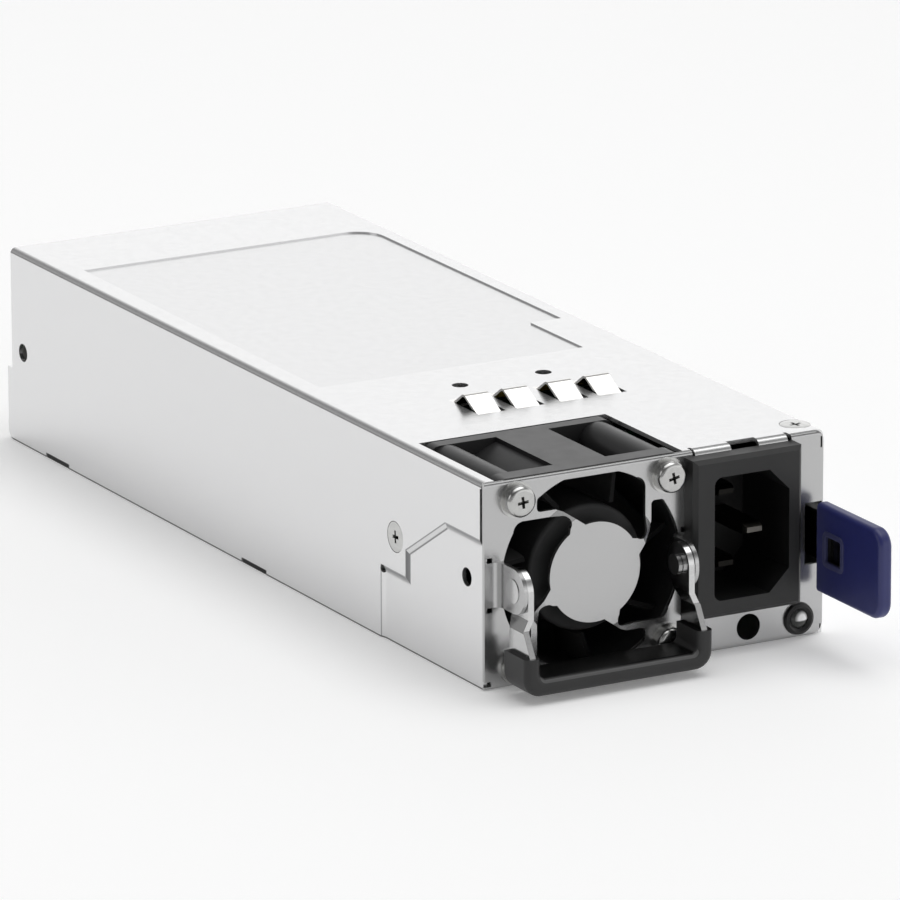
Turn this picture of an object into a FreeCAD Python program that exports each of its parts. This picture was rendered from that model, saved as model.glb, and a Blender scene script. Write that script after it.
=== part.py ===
"""Hot swap server power supply: folded steel case, fan, mains inlet, handle and release latch.

Frame, in millimetres: x = 0 is the middle of the case, y = 0 is the outer face of the front
plate, +y runs to the rear where the card edge plugs in, and z = 0 is the underside of the case.
"""
import FreeCAD, Part
import itertools
import math
import os

import Sketcher
from FreeCAD import Vector

doc = FreeCAD.newDocument("power_supply")
sheet = doc.addObject("Spreadsheet::Sheet", "sizes")
nodes = []


# ---------------------------------------------------------------- sizes and formulas

def formula_of(value):
    """The spreadsheet formula of a size, or the plain number of a constant."""
    if isinstance(value, Size):
        return value.formula
    return repr(float(value))


class Size(float):
    """A number that keeps the spreadsheet formula it was worked out with."""

    def __new__(cls, value, formula):
        number = super().__new__(cls, value)
        number.formula = formula
        return number

    def __add__(self, other):
        return Size(float(self) + float(other), f"({self.formula} + {formula_of(other)})")

    def __radd__(self, other):
        return Size(float(other) + float(self), f"({formula_of(other)} + {self.formula})")

    def __sub__(self, other):
        return Size(float(self) - float(other), f"({self.formula} - {formula_of(other)})")

    def __rsub__(self, other):
        return Size(float(other) - float(self), f"({formula_of(other)} - {self.formula})")

    def __mul__(self, other):
        return Size(float(self) * float(other), f"({self.formula} * {formula_of(other)})")

    def __rmul__(self, other):
        return Size(float(other) * float(self), f"({formula_of(other)} * {self.formula})")

    def __truediv__(self, other):
        return Size(float(self) / float(other), f"({self.formula} / {formula_of(other)})")

    def __neg__(self):
        return Size(-float(self), f"(-1 * {self.formula})")


def root_of(value):
    """Square root of a size."""
    return Size(math.sqrt(float(value)), f"sqrt({formula_of(value)})")


def on_circle(radius, angle):
    """The point at an angle in degrees on a circle about the sketch's origin."""
    return radius * math.cos(math.radians(angle)), radius * math.sin(math.radians(angle))


def size(name, value):
    """Put one driving dimension in the spreadsheet."""
    row = next(rows)
    sheet.set(f"A{row}", name)
    sheet.set(f"B{row}", str(value))
    sheet.setAlias(f"B{row}", name)
    return Size(value, f"sizes.{name}")


rows = itertools.count(1)

# case
case_width = size("case_width", 73.5)
case_height = size("case_height", 40)
case_length = size("case_length", 194)
sheet_steel = size("sheet_steel", 0.8)
fold_radius = size("fold_radius", 1.2)
sheet_gap = size("sheet_gap", 0.05)
front_seam = size("front_seam", 0.15)
seam_opening = size("seam_opening", 0.5)
rear_lip = size("rear_lip", 2)
rear_lip_height = size("rear_lip_height", 15)
half_width = case_width / 2
# fan
fan_inset = size("fan_inset", 22.85)
fan_x = fan_inset - half_width
fan_z = size("fan_z", 20.1)
fan_size = size("fan_size", 40)
fan_depth = size("fan_depth", 28)
fan_screw_pitch = size("fan_screw_pitch", 32.2)
duct_radius = size("duct_radius", 19.1)
duct_outer_radius = size("duct_outer_radius", 19.9)
fan_column_radius = size("fan_column_radius", 3.85)
fan_web_width = size("fan_web_width", 11.2)
blade_radius = size("blade_radius", 18.5)
rotor_radius = size("rotor_radius", 12.2)
shaft_radius = size("shaft_radius", 1.5)
# finger guard
guard_radius = size("guard_radius", 19.2)
guard_flat = size("guard_flat", 18.3)
guard_disc = size("guard_disc", 9.65)
guard_side = size("guard_side", 11.6)
guard_rise = size("guard_rise", 1.4)
# handle
handle_shift = size("handle_shift", -0.9)
handle_x = fan_x + handle_shift
handle_span = size("handle_span", 40)
pivot_y = size("pivot_y", -5)
pivot_z = size("pivot_z", 20.3)
eye_radius = size("eye_radius", 4.2)
rivet_radius = size("rivet_radius", 1.5)
running_fit = size("running_fit", 0.1)
# inlet
inlet_inset = size("inlet_inset", 18.35)
inlet_x = half_width - inlet_inset
inlet_z = size("inlet_z", 23.3)
inlet_depth = size("inlet_depth", 21)
flange_width = size("flange_width", 23.5)
flange_height = size("flange_height", 31)
flange_shift = size("flange_shift", -0.65)
flange_thickness = size("flange_thickness", 4)
pin_pitch = size("pin_pitch", 14)
# latch
latch_inset = size("latch_inset", 2.35)
latch_x = half_width - latch_inset
latch_z = size("latch_z", 20.2)
latch_root_y = size("latch_root_y", 45)
spring_steel = size("spring_steel", 0.8)
tab_length = size("tab_length", 22.6)
tab_height = size("tab_height", 17.5)
tab_thickness = size("tab_thickness", 2.9)
# circuit board
board_thickness = size("board_thickness", 1.6)
standoff_height = size("standoff_height", 5.2)
card_edge_width = size("card_edge_width", 48)
card_edge_reach = size("card_edge_reach", 8)

inner_half = half_width - sheet_steel
inner_top = case_height - sheet_steel
cover_front = sheet_steel + front_seam
board_z = sheet_steel + standoff_height
board_top = board_z + board_thickness
board_half = inner_half - sheet_steel - 1.6


# ---------------------------------------------------------------- modelling helpers

PLANE_ROLES = {"XY": "XY_Plane", "XZ": "XZ_Plane", "YZ": "YZ_Plane"}


def body(label):
    """A new part, written out under its label."""
    new = doc.addObject("PartDesign::Body", label)
    new.Label = label
    nodes.append(new)
    return new


def draw_loop(sketch, corners):
    """A closed outline. A corner (x, y) ends a straight side and (x, y, radius) ends an arc.

    The radius is positive for an arc that turns counter-clockwise. Every corner is held
    by its distances from the sketch's origin, so the outline follows the spreadsheet.
    """
    ends = []
    for index, corner in enumerate(corners):
        start = corners[index - 1]
        first = Vector(float(start[0]), float(start[1]), 0)
        last = Vector(float(corner[0]), float(corner[1]), 0)
        if len(corner) == 2:
            geometry = sketch.addGeometry(Part.LineSegment(first, last))
            ends.append((geometry, 1, 2))
            continue
        radius = float(corner[2])
        chord = last - first
        rise = math.sqrt(max(radius * radius - chord.Length ** 2 / 4, 0))
        side = Vector(-chord.y, chord.x, 0).normalize() * math.copysign(rise, radius)
        centre = (first + last) / 2 + side
        begin, finish = (first, last) if radius > 0 else (last, first)
        arc = Part.ArcOfCircle(Part.Circle(centre, Vector(0, 0, 1), abs(radius)),
                               math.atan2(begin.y - centre.y, begin.x - centre.x),
                               math.atan2(finish.y - centre.y, finish.x - centre.x))
        geometry = sketch.addGeometry(arc)
        held = sketch.addConstraint(Sketcher.Constraint("Radius", geometry, abs(radius)))
        bound = corner[2] if radius > 0 else -corner[2]
        sketch.setExpression(f"Constraints[{held}]", formula_of(bound))
        ends.append((geometry, 1, 2) if radius > 0 else (geometry, 2, 1))
    for index, corner in enumerate(corners):
        geometry, _, finish = ends[index]
        following, begin, _ = ends[(index + 1) % len(corners)]
        sketch.addConstraint(Sketcher.Constraint("Coincident", geometry, finish, following, begin))
        for axis, value in (("DistanceX", corner[0]), ("DistanceY", corner[1])):
            held = sketch.addConstraint(
                Sketcher.Constraint(axis, -1, 1, geometry, finish, float(value)))
            sketch.setExpression(f"Constraints[{held}]", formula_of(value))


def draw_circle(sketch, x, y, radius):
    """A circle held by its centre and its radius."""
    centre = Vector(float(x), float(y), 0)
    geometry = sketch.addGeometry(Part.Circle(centre, Vector(0, 0, 1), float(radius)))
    held = sketch.addConstraint(Sketcher.Constraint("Radius", geometry, float(radius)))
    sketch.setExpression(f"Constraints[{held}]", formula_of(radius))
    for axis, value in (("DistanceX", x), ("DistanceY", y)):
        held = sketch.addConstraint(Sketcher.Constraint(axis, -1, 1, geometry, 3, float(value)))
        sketch.setExpression(f"Constraints[{held}]", formula_of(value))


def draw(part, plane, level, outlines, origin=(0, 0)):
    """A sketch on one of the part's own planes, moved to a level along the plane's axis."""
    sketch = part.newObject("Sketcher::SketchObject", part.Label + "_sketch")
    role = PLANE_ROLES[plane]
    face = [item for item in part.Origin.OriginFeatures if item.Role == role][0]
    sketch.AttachmentSupport = (face, [""])
    sketch.MapMode = "FlatFace"
    height = -1.0 * level if plane == "XZ" else level
    for axis, value in (("x", origin[0]), ("y", origin[1]), ("z", height)):
        sketch.setExpression(f"AttachmentOffset.Base.{axis}", formula_of(value))
    for outline in outlines:
        if isinstance(outline, list):
            draw_loop(sketch, outline)
        else:
            draw_circle(sketch, *outline)
    return sketch


def add(part, plane, low, high, *outlines, origin=(0, 0)):
    """Pad outlines from low to high along the plane's axis."""
    level = high if plane == "XZ" else low
    pad = part.newObject("PartDesign::Pad", part.Label + "_pad")
    pad.Profile = draw(part, plane, level, outlines, origin)
    pad.setExpression("Length", formula_of(high - low))
    part.Tip = pad
    return pad


def cut(part, plane, low, high, *outlines, origin=(0, 0), taper=0):
    """Pocket outlines from low to high along the plane's axis."""
    level = low if plane == "XZ" else high
    pocket = part.newObject("PartDesign::Pocket", part.Label + "_pocket")
    pocket.Profile = draw(part, plane, level, outlines, origin)
    pocket.Type = 0
    pocket.setExpression("Length", formula_of(high - low))
    pocket.TaperAngle = taper
    part.Tip = pocket
    return pocket


def turn(part, plane, axis, outline, level=0, origin=(0, 0)):
    """Revolve an outline about its sketch's H_Axis or V_Axis."""
    revolution = part.newObject("PartDesign::Revolution", part.Label + "_turned")
    sketch = draw(part, plane, level, [outline], origin)
    revolution.Profile = sketch
    revolution.ReferenceAxis = (sketch, [axis])
    revolution.Angle = 360
    part.Tip = revolution
    return revolution


def around(part, feature, count, name="N_Axis"):
    """Repeat a feature round the axis of its own sketch."""
    pattern = part.newObject("PartDesign::PolarPattern", part.Label + "_ring")
    pattern.Originals = [feature]
    sketch = feature.Profile[0]
    pattern.Axis = (sketch, [name])
    pattern.Angle = 360
    pattern.Occurrences = count
    part.Tip = pattern
    return pattern


def grid(part, feature, length_x, count_x, length_z, count_z):
    """Repeat a feature along X and along Z."""
    axes = {item.Role: item for item in part.Origin.OriginFeatures}
    pattern = part.newObject("PartDesign::LinearPattern", part.Label + "_grid")
    pattern.Originals = [feature]
    pattern.Direction = (axes["X_Axis"], [""])
    pattern.setExpression("Length", formula_of(length_x))
    pattern.Occurrences = count_x
    pattern.Direction2 = (axes["Z_Axis"], [""])
    pattern.setExpression("Length2", formula_of(length_z))
    pattern.Occurrences2 = count_z
    part.Tip = pattern
    return pattern


def dress(part, kind, measure, radius, chosen):
    """Fillet or chamfer the edges of the part that the test chooses."""
    doc.recompute()
    base = part.Tip
    names = [f"Edge{index + 1}" for index, edge in enumerate(base.Shape.Edges) if chosen(edge)]
    feature = part.newObject("PartDesign::" + kind, part.Label + "_" + kind.lower())
    feature.Base = (base, names)
    feature.setExpression(measure, formula_of(radius))
    part.Tip = feature
    return feature


def fillet(part, radius, chosen):
    return dress(part, "Fillet", "Radius", radius, chosen)


def chamfer(part, radius, chosen):
    return dress(part, "Chamfer", "Size", radius, chosen)


def near(value, target):
    return abs(value - float(target)) < 1e-4


def along(edge, axis):
    """True for a straight edge that runs along the named axis."""
    if edge.Curve.TypeId != "Part::GeomLine":
        return False
    direction = edge.Curve.Direction
    return abs(abs(getattr(direction, axis)) - 1) < 1e-6


def lies_at(edge, **places):
    """True for an edge whose middle has the given coordinates."""
    middle = edge.CenterOfMass
    return all(near(getattr(middle, axis), value) for axis, value in places.items())


def rectangle(x_low, y_low, x_high, y_high):
    return [(x_low, y_low), (x_high, y_low), (x_high, y_high), (x_low, y_high)]


def rounded(x_low, y_low, x_high, y_high, radius):
    """A rectangle with four equal round corners."""
    return [(x_low + radius, y_low, radius), (x_high - radius, y_low),
            (x_high, y_low + radius, radius), (x_high, y_high - radius),
            (x_high - radius, y_high, radius), (x_low + radius, y_high),
            (x_low, y_high - radius, radius), (x_low, y_low + radius)]


def block(label, x_low, x_high, y_low, y_high, z_low, z_high):
    """A plain box as a part of its own."""
    part = doc.addObject("Part::Box", label)
    part.Label = label
    spans = (("Length", "x", x_low, x_high), ("Width", "y", y_low, y_high),
             ("Height", "z", z_low, z_high))
    for measure, axis, low, high in spans:
        part.setExpression(measure, formula_of(high - low))
        part.setExpression(f"Placement.Base.{axis}", formula_of(low))
    return part


def rod(label, x, y, z, radius, length, axis="z"):
    """A plain cylinder that starts at a point and runs along an axis."""
    part = doc.addObject("Part::Cylinder", label)
    part.Label = label
    part.setExpression("Radius", formula_of(radius))
    part.setExpression("Height", formula_of(length))
    turns = {"x": (0, 1, 0, 90), "y": (1, 0, 0, -90), "z": (0, 0, 1, 0)}
    vx, vy, vz, angle = turns[axis]
    part.Placement = FreeCAD.Placement(Vector(0, 0, 0), FreeCAD.Rotation(Vector(vx, vy, vz), angle))
    for name, value in (("x", x), ("y", y), ("z", z)):
        part.setExpression(f"Placement.Base.{name}", formula_of(value))
    return part


def keep(part):
    nodes.append(part)
    return part


# ---------------------------------------------------------------- sheet metal case

window_low = fan_x - fan_size / 2 - 0.1
window_high = fan_x + fan_size / 2 + 0.1
fan_front = sheet_steel
fan_rear = fan_front + fan_depth
window_rear = fan_rear + 0.9
flange_top = inlet_z + flange_height / 2 + 0.2
nose_radius = case_height - flange_top + 0.6
nose_low = inlet_x - 9.9
nose_high = inlet_x + 10.2
nose_relief = 0.7
finger_slots = (-14.7, -6.3, 3.3, 11.6)
finger_slot_width = 6.0
finger_front = 41.2
finger_rear = 52.6
screw_head_radius = size("screw_head_radius", 3)
fan_screw_head = size("fan_screw_head", 3)
side_screw_z = case_height / 2 + 1.1
side_screws = ((-1, 33.9), (1, 70))
top_screw_x = half_width - 3.05
top_screw_y = 6.1
notch_spans = ((85.5, 95.7), (169.2, 179.3))
barb_low = 5.0
barb_high = 15.0


def cover_section():
    """Cross-section of the cover: a top and two walls with folded corners."""
    inside_radius = fold_radius - sheet_steel
    return [(-half_width, 0), (-half_width, case_height - fold_radius),
            (-half_width + fold_radius, case_height, -fold_radius),
            (half_width - fold_radius, case_height),
            (half_width, case_height - fold_radius, -fold_radius), (half_width, 0),
            (inner_half, 0), (inner_half, case_height - fold_radius),
            (half_width - fold_radius, inner_top, inside_radius),
            (-half_width + fold_radius, inner_top),
            (-inner_half, case_height - fold_radius, inside_radius), (-inner_half, 0)]


def cover_nose(cover):
    """The rolled front edge of the cover above the inlet, with a relief slit at each end."""
    front = sheet_gap
    start = front + nose_radius + 0.5
    cut(cover, "XY", inner_top - 0.5, case_height + 1,
        rectangle(nose_low - nose_relief, -1, nose_high + nose_relief, start))
    inside = nose_radius - sheet_steel
    roll = [(start, case_height), (front + nose_radius, case_height),
            (front, case_height - nose_radius, nose_radius),
            (front + sheet_steel, case_height - nose_radius),
            (front + nose_radius, inner_top, -inside), (start, inner_top)]
    add(cover, "YZ", nose_low, nose_high, roll)
    cut(cover, "XY", flange_top - 1, case_height + 1,
        rectangle(inlet_x - 2.1, -1, inlet_x + 3.9, nose_radius + 0.8))


def cover_step(cover):
    """The shallow step pressed into the lower front of the left wall, with a sloping border."""
    depth = 0.4
    slope = 74
    outline = [(-2, -3), (38.3, -3), (38.3, 13.0), (28.6, 13.0), (28.6, 18.9), (14.3, 27.6), (-2, 27.6)]
    bulge = add(cover, "YZ", depth - inner_half, 2 * depth - inner_half, outline)
    bulge.Reversed = True
    bulge.TaperAngle = slope
    cut(cover, "XY", -12, 0, rectangle(-half_width - 1, -12, -inner_half + 2, 60))
    cut(cover, "XZ", -12, cover_front, rectangle(-half_width - 1, -1, -inner_half + 2, 36))
    cut(cover, "YZ", -half_width - 0.1, depth - half_width, outline, taper=slope)
    cut(cover, "YZ", -half_width - 1, 1 - inner_half, (38.9, 13.6, 0.8))


def build_cover():
    """Top and both side walls, folded from one sheet."""
    cover = body("case_cover")
    add(cover, "XZ", cover_front, case_length, cover_section())
    for side in (-1, 1):
        low, high = (-half_width, -inner_half) if side < 0 else (inner_half, half_width)
        radius = rear_lip
        lip = [(case_length - 1, 0), (case_length, 0),
               (case_length + rear_lip, radius, radius),
               (case_length + rear_lip, rear_lip_height), (case_length - 1, rear_lip_height)]
        add(cover, "YZ", low, high, lip)
    cover_nose(cover)
    cut(cover, "XY", inner_top - 1, case_height + 1,
        rectangle(window_low, -1, window_high, window_rear))
    slots = [rectangle(left, finger_front, left + finger_slot_width, finger_rear)
             for left in finger_slots]
    cut(cover, "XY", inner_top - 1, case_height + 1, *slots)
    cut(cover, "XY", inner_top - 1, case_height + 1, (-7.8, 60.7, 1.6), (10.5, 60.8, 1.6),
        (top_screw_x, top_screw_y, screw_head_radius + sheet_gap))
    left = 4.95 - half_width
    right = half_width - 3.95
    rear = case_length - 22.8
    label_bed = [(left, 72.5), (right - 6.8, 72.5), (right - 6.8, 93), (right, 93), (right, rear - 6),
                 (right - 6, rear, 6.0), (left, rear)]
    cut(cover, "XY", case_height - 0.3, case_height + 1, label_bed)
    cover_step(cover)
    cut(cover, "YZ", -half_width - 1, -inner_half + 1,
        rectangle(cover_front - 1, 28.2, cover_front + seam_opening, case_height - fold_radius))
    cover_walls(cover)


def cover_walls(cover):
    """Screw holes, tooling holes, tab notches, the pressed step and the barb window."""
    outside = half_width + 1
    for side, screw_y in side_screws:
        low, high = (-outside, -inner_half + 1) if side < 0 else (inner_half - 1, outside)
        holes = [(screw_y, side_screw_z, screw_head_radius + sheet_gap), (case_length - 5, 19.3, 1.85)]
        notches = [rectangle(start, -1, end, sheet_steel + 0.15) for start, end in notch_spans]
        cut(cover, "YZ", low, high, *holes, *notches)
    cut(cover, "YZ", -outside, -inner_half + 1, (7.1, 20.3, 1.8))
    cut(cover, "YZ", inner_half - 1, outside,
        rectangle(barb_low - 1, latch_z - 3.8, barb_high + 1, latch_z + 3.8))


def build_base():
    """Floor of the case with short upturned sides that stand inside the cover."""
    base = body("base_chassis")
    reach = inner_half - sheet_gap
    floor_rear = case_length - 1
    add(base, "XY", 0, sheet_steel, rectangle(-reach, cover_front, reach, floor_rear))
    for side in (-1, 1):
        low, high = (-reach, -reach + sheet_steel) if side < 0 else (reach - sheet_steel, reach)
        add(base, "YZ", low, high, rectangle(62, 0, floor_rear - 6, 9))
        tab_low, tab_high = (-half_width + 0.1, -reach + 1) if side < 0 else (reach - 1, half_width - 0.1)
        tabs = [rectangle(start + 0.2, 0, end - 0.2, sheet_steel) for start, end in notch_spans]
        add(base, "YZ", tab_low, tab_high, *tabs)
    cut(base, "XY", -1, sheet_steel + 1, rectangle(window_low, cover_front - 1, window_high, window_rear),
        rectangle(-reach - 1, cover_front - 1, -reach + 0.5, 42))


def rear_holes(panel):
    """A field of hexagonal vent holes above the card edge."""
    across = 2.1
    hexagon = [on_circle(across, 60 * corner + 30) for corner in range(6)]
    edge = 5.55 - half_width
    first = cut(panel, "XZ", case_length - 3, case_length + 1, hexagon, origin=(edge, 17))
    grid(panel, first, -2 * edge, 14, case_height - 25.6, 4)


def build_rear_panel():
    panel = body("rear_vent_panel")
    reach = inner_half - sheet_gap
    top = inner_top - sheet_gap
    corner = fold_radius
    add(panel, "XZ", case_length - sheet_steel, case_length,
        [(-reach, sheet_steel + sheet_gap), (reach, sheet_steel + sheet_gap), (reach, top - corner),
         (reach - corner, top, corner), (-reach + corner, top), (-reach, top - corner, corner)])
    add(panel, "XY", sheet_steel + sheet_gap, 2 * sheet_steel + sheet_gap,
        rectangle(-reach + 4, case_length - 8, reach - 4, case_length))
    cut(panel, "XZ", case_length - 3, case_length + 1,
        rectangle(-card_edge_width / 2 - 1, board_z - 2, card_edge_width / 2 + 1, board_top + 2))
    rear_holes(panel)


def build_fingers():
    """Spring steel strip under the cover whose four arched fingers ground the case."""
    strip = body("grounding_fingers")
    thick = 0.35
    top = inner_top
    windows = [rectangle(left, finger_front + 1, left + 6.2, finger_rear - 1)
               for left in finger_slots]
    add(strip, "XY", top - thick, top, rectangle(-17.5, 38.5, 20, 55.5), *windows)
    rise = case_height + 2.3
    ridge = (finger_front + finger_rear) / 2 + 0.6
    front = finger_front + 0.1
    rear = finger_rear - 0.1
    arch = [(front, top), (front + 0.5, top - thick), (ridge - 0.75, rise - 0.75),
            (ridge + 0.75, rise - 0.75, -1.2), (rear - 0.5, top - thick), (rear, top),
            (ridge + 0.9, rise - 0.35), (ridge - 0.9, rise - 0.35, 1.5)]
    for left in finger_slots:
        add(strip, "YZ", left + 0.3, left + 5.4, arch)


# ---------------------------------------------------------------- front plate

ear_steel = sheet_steel
ear_reach = handle_span / 2 - 1.35
ear_low = pivot_z - 4.3
ear_high = pivot_z + 4.3
ear_bend = 1.5
ear_front = pivot_y - eye_radius - 0.1
plate_half = half_width - 0.15
led_x = half_width - 5.75
led_z = 3.9
tie_x = half_width - 16.65
tie_z = 3.9
tie_radius = 2.55


def guard_opening(clipped):
    """One opening of the finger guard, drawn about the middle of the fan."""
    start_x = -0.94 * guard_side
    start = (start_x, root_of(guard_radius * guard_radius - start_x * start_x))
    finish_x = 0.83 * guard_side
    finish = (finish_x, root_of(guard_radius * guard_radius - finish_x * finish_x), -guard_radius)
    outline = [(-guard_side, 13.65, -0.8), (-guard_side, 14.9), (start[0], start[1], -1.0)]
    if clipped:
        half_flat = root_of(guard_radius * guard_radius - guard_flat * guard_flat)
        outline += [(-half_flat, guard_flat, -guard_radius), (half_flat, guard_flat)]
    outline += [finish, (guard_side, 14.2, -2.2), (guard_side, 6.5),
                (guard_side - 1.6, 4.9, -1.6), (guard_side - 2.52, 5.19, -1.6)]
    outline += [on_circle(guard_disc, 33.5), (*on_circle(guard_disc, 102.0), guard_disc)]
    outline += [(-6.1, 12.25), (-7.6, 12.85), (-guard_side + 0.8, 12.85)]
    return outline


def plate_outline():
    """Front view of the plate, with a low step where the cover rolls over the inlet."""
    low = 0.15
    top = case_height - 0.05
    step = case_height - nose_radius - 0.1
    return [(-plate_half, low), (plate_half - 2.4, low), (plate_half, low + 2.4, 2.4),
            (plate_half, top - 1.8), (plate_half - 1.8, top, 1.8),
            (nose_high + nose_relief, top), (nose_high + nose_relief, step),
            (nose_low - nose_relief, step), (nose_low - nose_relief, top), (-plate_half, top)]


def plate_ear(plate, side):
    """A tab bent forward from the plate: it carries one end of the handle."""
    outer = handle_x + side * ear_reach
    inner = handle_x + side * (ear_reach - ear_steel)
    root = handle_x + side * (ear_reach + ear_bend)
    section = [(root, 0), (outer, -ear_bend, side * ear_bend), (outer, ear_front), (inner, ear_front),
               (inner, -ear_bend), (root, ear_steel, -side * (ear_bend + ear_steel))]
    low, high = (root, inner) if side < 0 else (inner, root)
    cut(plate, "XZ", -3, sheet_steel + 1, rectangle(low, ear_low, high, ear_high))
    relief_low, relief_high = (root - 1.35, root) if side < 0 else (root, root + 1.35)
    cut(plate, "XZ", -3, sheet_steel + 1,
        rectangle(relief_low, ear_low - 1.0, relief_high, ear_low),
        rectangle(relief_low, ear_high, relief_high, ear_high + 1.0))
    add(plate, "XY", ear_low, ear_high, section)


def build_plate():
    """Front plate with the raised finger guard, the handle's ears and the panel cut-outs."""
    plate = body("face_plate")
    add(plate, "XZ", 0, sheet_steel, plate_outline())
    ramp = 14.6
    cut(plate, "XZ", -1, sheet_steel + 1, (0, 0, ramp), origin=(fan_x, fan_z))
    raised = [(0, -guard_rise), (11.5, -guard_rise), (ramp, 0), (ramp, sheet_steel),
              (11.5, sheet_steel - guard_rise), (0, sheet_steel - guard_rise)]
    turn(plate, "XY", "V_Axis", raised, level=fan_z, origin=(fan_x, 0))
    centre = (fan_x, fan_z)
    upright = cut(plate, "XZ", -3, sheet_steel + 1, guard_opening(True), origin=centre)
    around(plate, upright, 2)
    sideways = cut(plate, "XZ", -3, sheet_steel + 1,
                   [turned(corner) for corner in guard_opening(False)], origin=centre)
    around(plate, sideways, 2)
    half_pitch = fan_screw_pitch / 2
    for side_x in (-1, 1):
        for side_z in (-1, 1):
            cut(plate, "XZ", -1, sheet_steel + 1,
                (fan_x + side_x * half_pitch, fan_z + side_z * half_pitch, 1.7))
    rolled = sheet_steel - 0.1
    fillet(plate, rolled, lambda edge: near(edge.CenterOfMass.y, 0)
           and (along(edge, "z") and near(edge.CenterOfMass.x, plate_half)
                or along(edge, "x") and near(edge.CenterOfMass.z, case_height - 0.05)))
    for side in (-1, 1):
        plate_ear(plate, side)
    fillet(plate, eye_radius - 0.2, lambda edge: along(edge, "x") and lies_at(edge, y=ear_front))
    cut(plate, "YZ", -half_width, half_width, (pivot_y, pivot_z, rivet_radius + 0.05))
    plate_cutouts(plate)


def turned(corner):
    """A corner of an outline turned a quarter turn counter-clockwise."""
    return (-1.0 * corner[1], corner[0], *corner[2:])


def plate_cutouts(plate):
    """Inlet, lamp, cord tie and latch openings, and the small corner slits."""
    back = sheet_steel + 1
    cut(plate, "XZ", -1, back, inlet_body_outline(0.1), (tie_x, tie_z, tie_radius), (led_x, led_z, 2.5))
    cut(plate, "XZ", -1, back,
        rectangle(latch_x - 2.1, latch_z - 6.05, latch_x + 1.6, latch_z + 6.05))
    slit = plate_half - 0.95
    cut(plate, "XZ", -1, back, rectangle(slit, case_height - 3.3, slit + 0.35, case_height - 1.1),
        rectangle(slit, 0.95, slit + 0.35, 2.15))
    cut(plate, "XZ", -1, back, rectangle(-plate_half - 1, 0.7, -plate_half + 1.4, 1.7))


# ---------------------------------------------------------------- fan

def build_fan_frame():
    """Moulded duct between two square flanges, with four screw columns and the motor's mount."""
    frame = body("fan_frame")
    centre = (fan_x, fan_z)
    edge = fan_size / 2
    half_pitch = fan_screw_pitch / 2
    spots = [(sx * half_pitch, sz * half_pitch) for sx in (-1, 1) for sz in (-1, 1)]
    front_flange = fan_front + 3.8
    rear_flange = fan_rear - 2.8
    flange = rounded(-edge, -edge, edge, edge, 2.5)
    web = fan_web_width / 2
    add(frame, "XZ", fan_front, front_flange, flange, origin=centre)
    add(frame, "XZ", front_flange - 1, rear_flange + 1, (0, 0, duct_outer_radius), origin=centre)
    add(frame, "XZ", rear_flange, fan_rear, flange, origin=centre)
    for x, z in spots:
        add(frame, "XZ", front_flange - 1, rear_flange + 1, (x, z, fan_column_radius), origin=centre)
    for outline in (rectangle(-web, -edge, web, edge), rectangle(-edge, -web, edge, web)):
        add(frame, "XZ", front_flange - 1, rear_flange + 1, outline, origin=centre)
    cut(frame, "XZ", fan_front - 1, fan_rear + 1, (0, 0, duct_radius), *[(x, z, 1.7) for x, z in spots],
        origin=centre)
    motor = 10.5
    add(frame, "XZ", fan_rear - 2.4, fan_rear, (0, 0, motor), origin=centre)
    strut = add(frame, "XZ", fan_rear - 2.4, fan_rear,
                rectangle(-1.1, motor - 0.5, 1.1, duct_radius + 0.4), origin=centre)
    around(frame, strut, 4)
    add(frame, "XZ", fan_front + 6, fan_rear - 2, (0, 0, 4.0), origin=centre)
    cut(frame, "XZ", fan_front + 5, fan_rear - 1, (0, 0, 3.05), origin=centre)


def blade_section(reach, thickness, lean):
    """A curved blade section as seen from its tip: it leans across the air stream."""
    front = fan_front + 2.2
    rear = fan_rear - 5.0
    bow = reach * 1.6
    return [(lean, front), (lean - reach, rear, bow), (lean - reach + thickness, rear),
            (lean + thickness, front, -bow)]


def build_impeller():
    """Rotor cup with seven twisted blades and the boss that grips the shaft."""
    impeller = body("fan_impeller")
    centre = (fan_x, fan_z)
    front = fan_front + 1.3
    rear = fan_rear - 4.0
    cup = [(0, front), (rotor_radius - 0.8, front), (rotor_radius, front + 0.8, 0.8),
           (rotor_radius, rear), (rotor_radius - 1.4, rear), (rotor_radius - 1.4, front + 1.4),
           (3.0, front + 1.4), (3.0, front + 3.6), (shaft_radius, front + 3.6),
           (shaft_radius, front + 1.4), (0, front + 1.4)]
    turn(impeller, "XY", "V_Axis", cup, level=fan_z, origin=(fan_x, 0))
    loft = impeller.newObject("PartDesign::AdditiveLoft", "fan_impeller_blade")
    root = draw(impeller, "XY", fan_z + rotor_radius - 0.7, [blade_section(11.0, 0.9, 5.5)],
                (fan_x, 0))
    tip = draw(impeller, "XY", fan_z + blade_radius + 0.9, [blade_section(9.0, 0.7, 6.5)],
               (fan_x, 0))
    loft.Profile = root
    loft.Sections = [tip]
    loft.Ruled = True
    impeller.Tip = loft
    ring = impeller.newObject("PartDesign::PolarPattern", "fan_impeller_ring")
    ring.Originals = [loft]
    hub = draw(impeller, "XZ", fan_front, [], centre)
    ring.Axis = (hub, ["N_Axis"])
    ring.Angle = 360
    ring.Occurrences = 7
    impeller.Tip = ring
    cut(impeller, "XZ", fan_front, fan_rear, (0, 0, blade_radius), (0, 0, blade_radius + 8),
        origin=centre)


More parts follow.
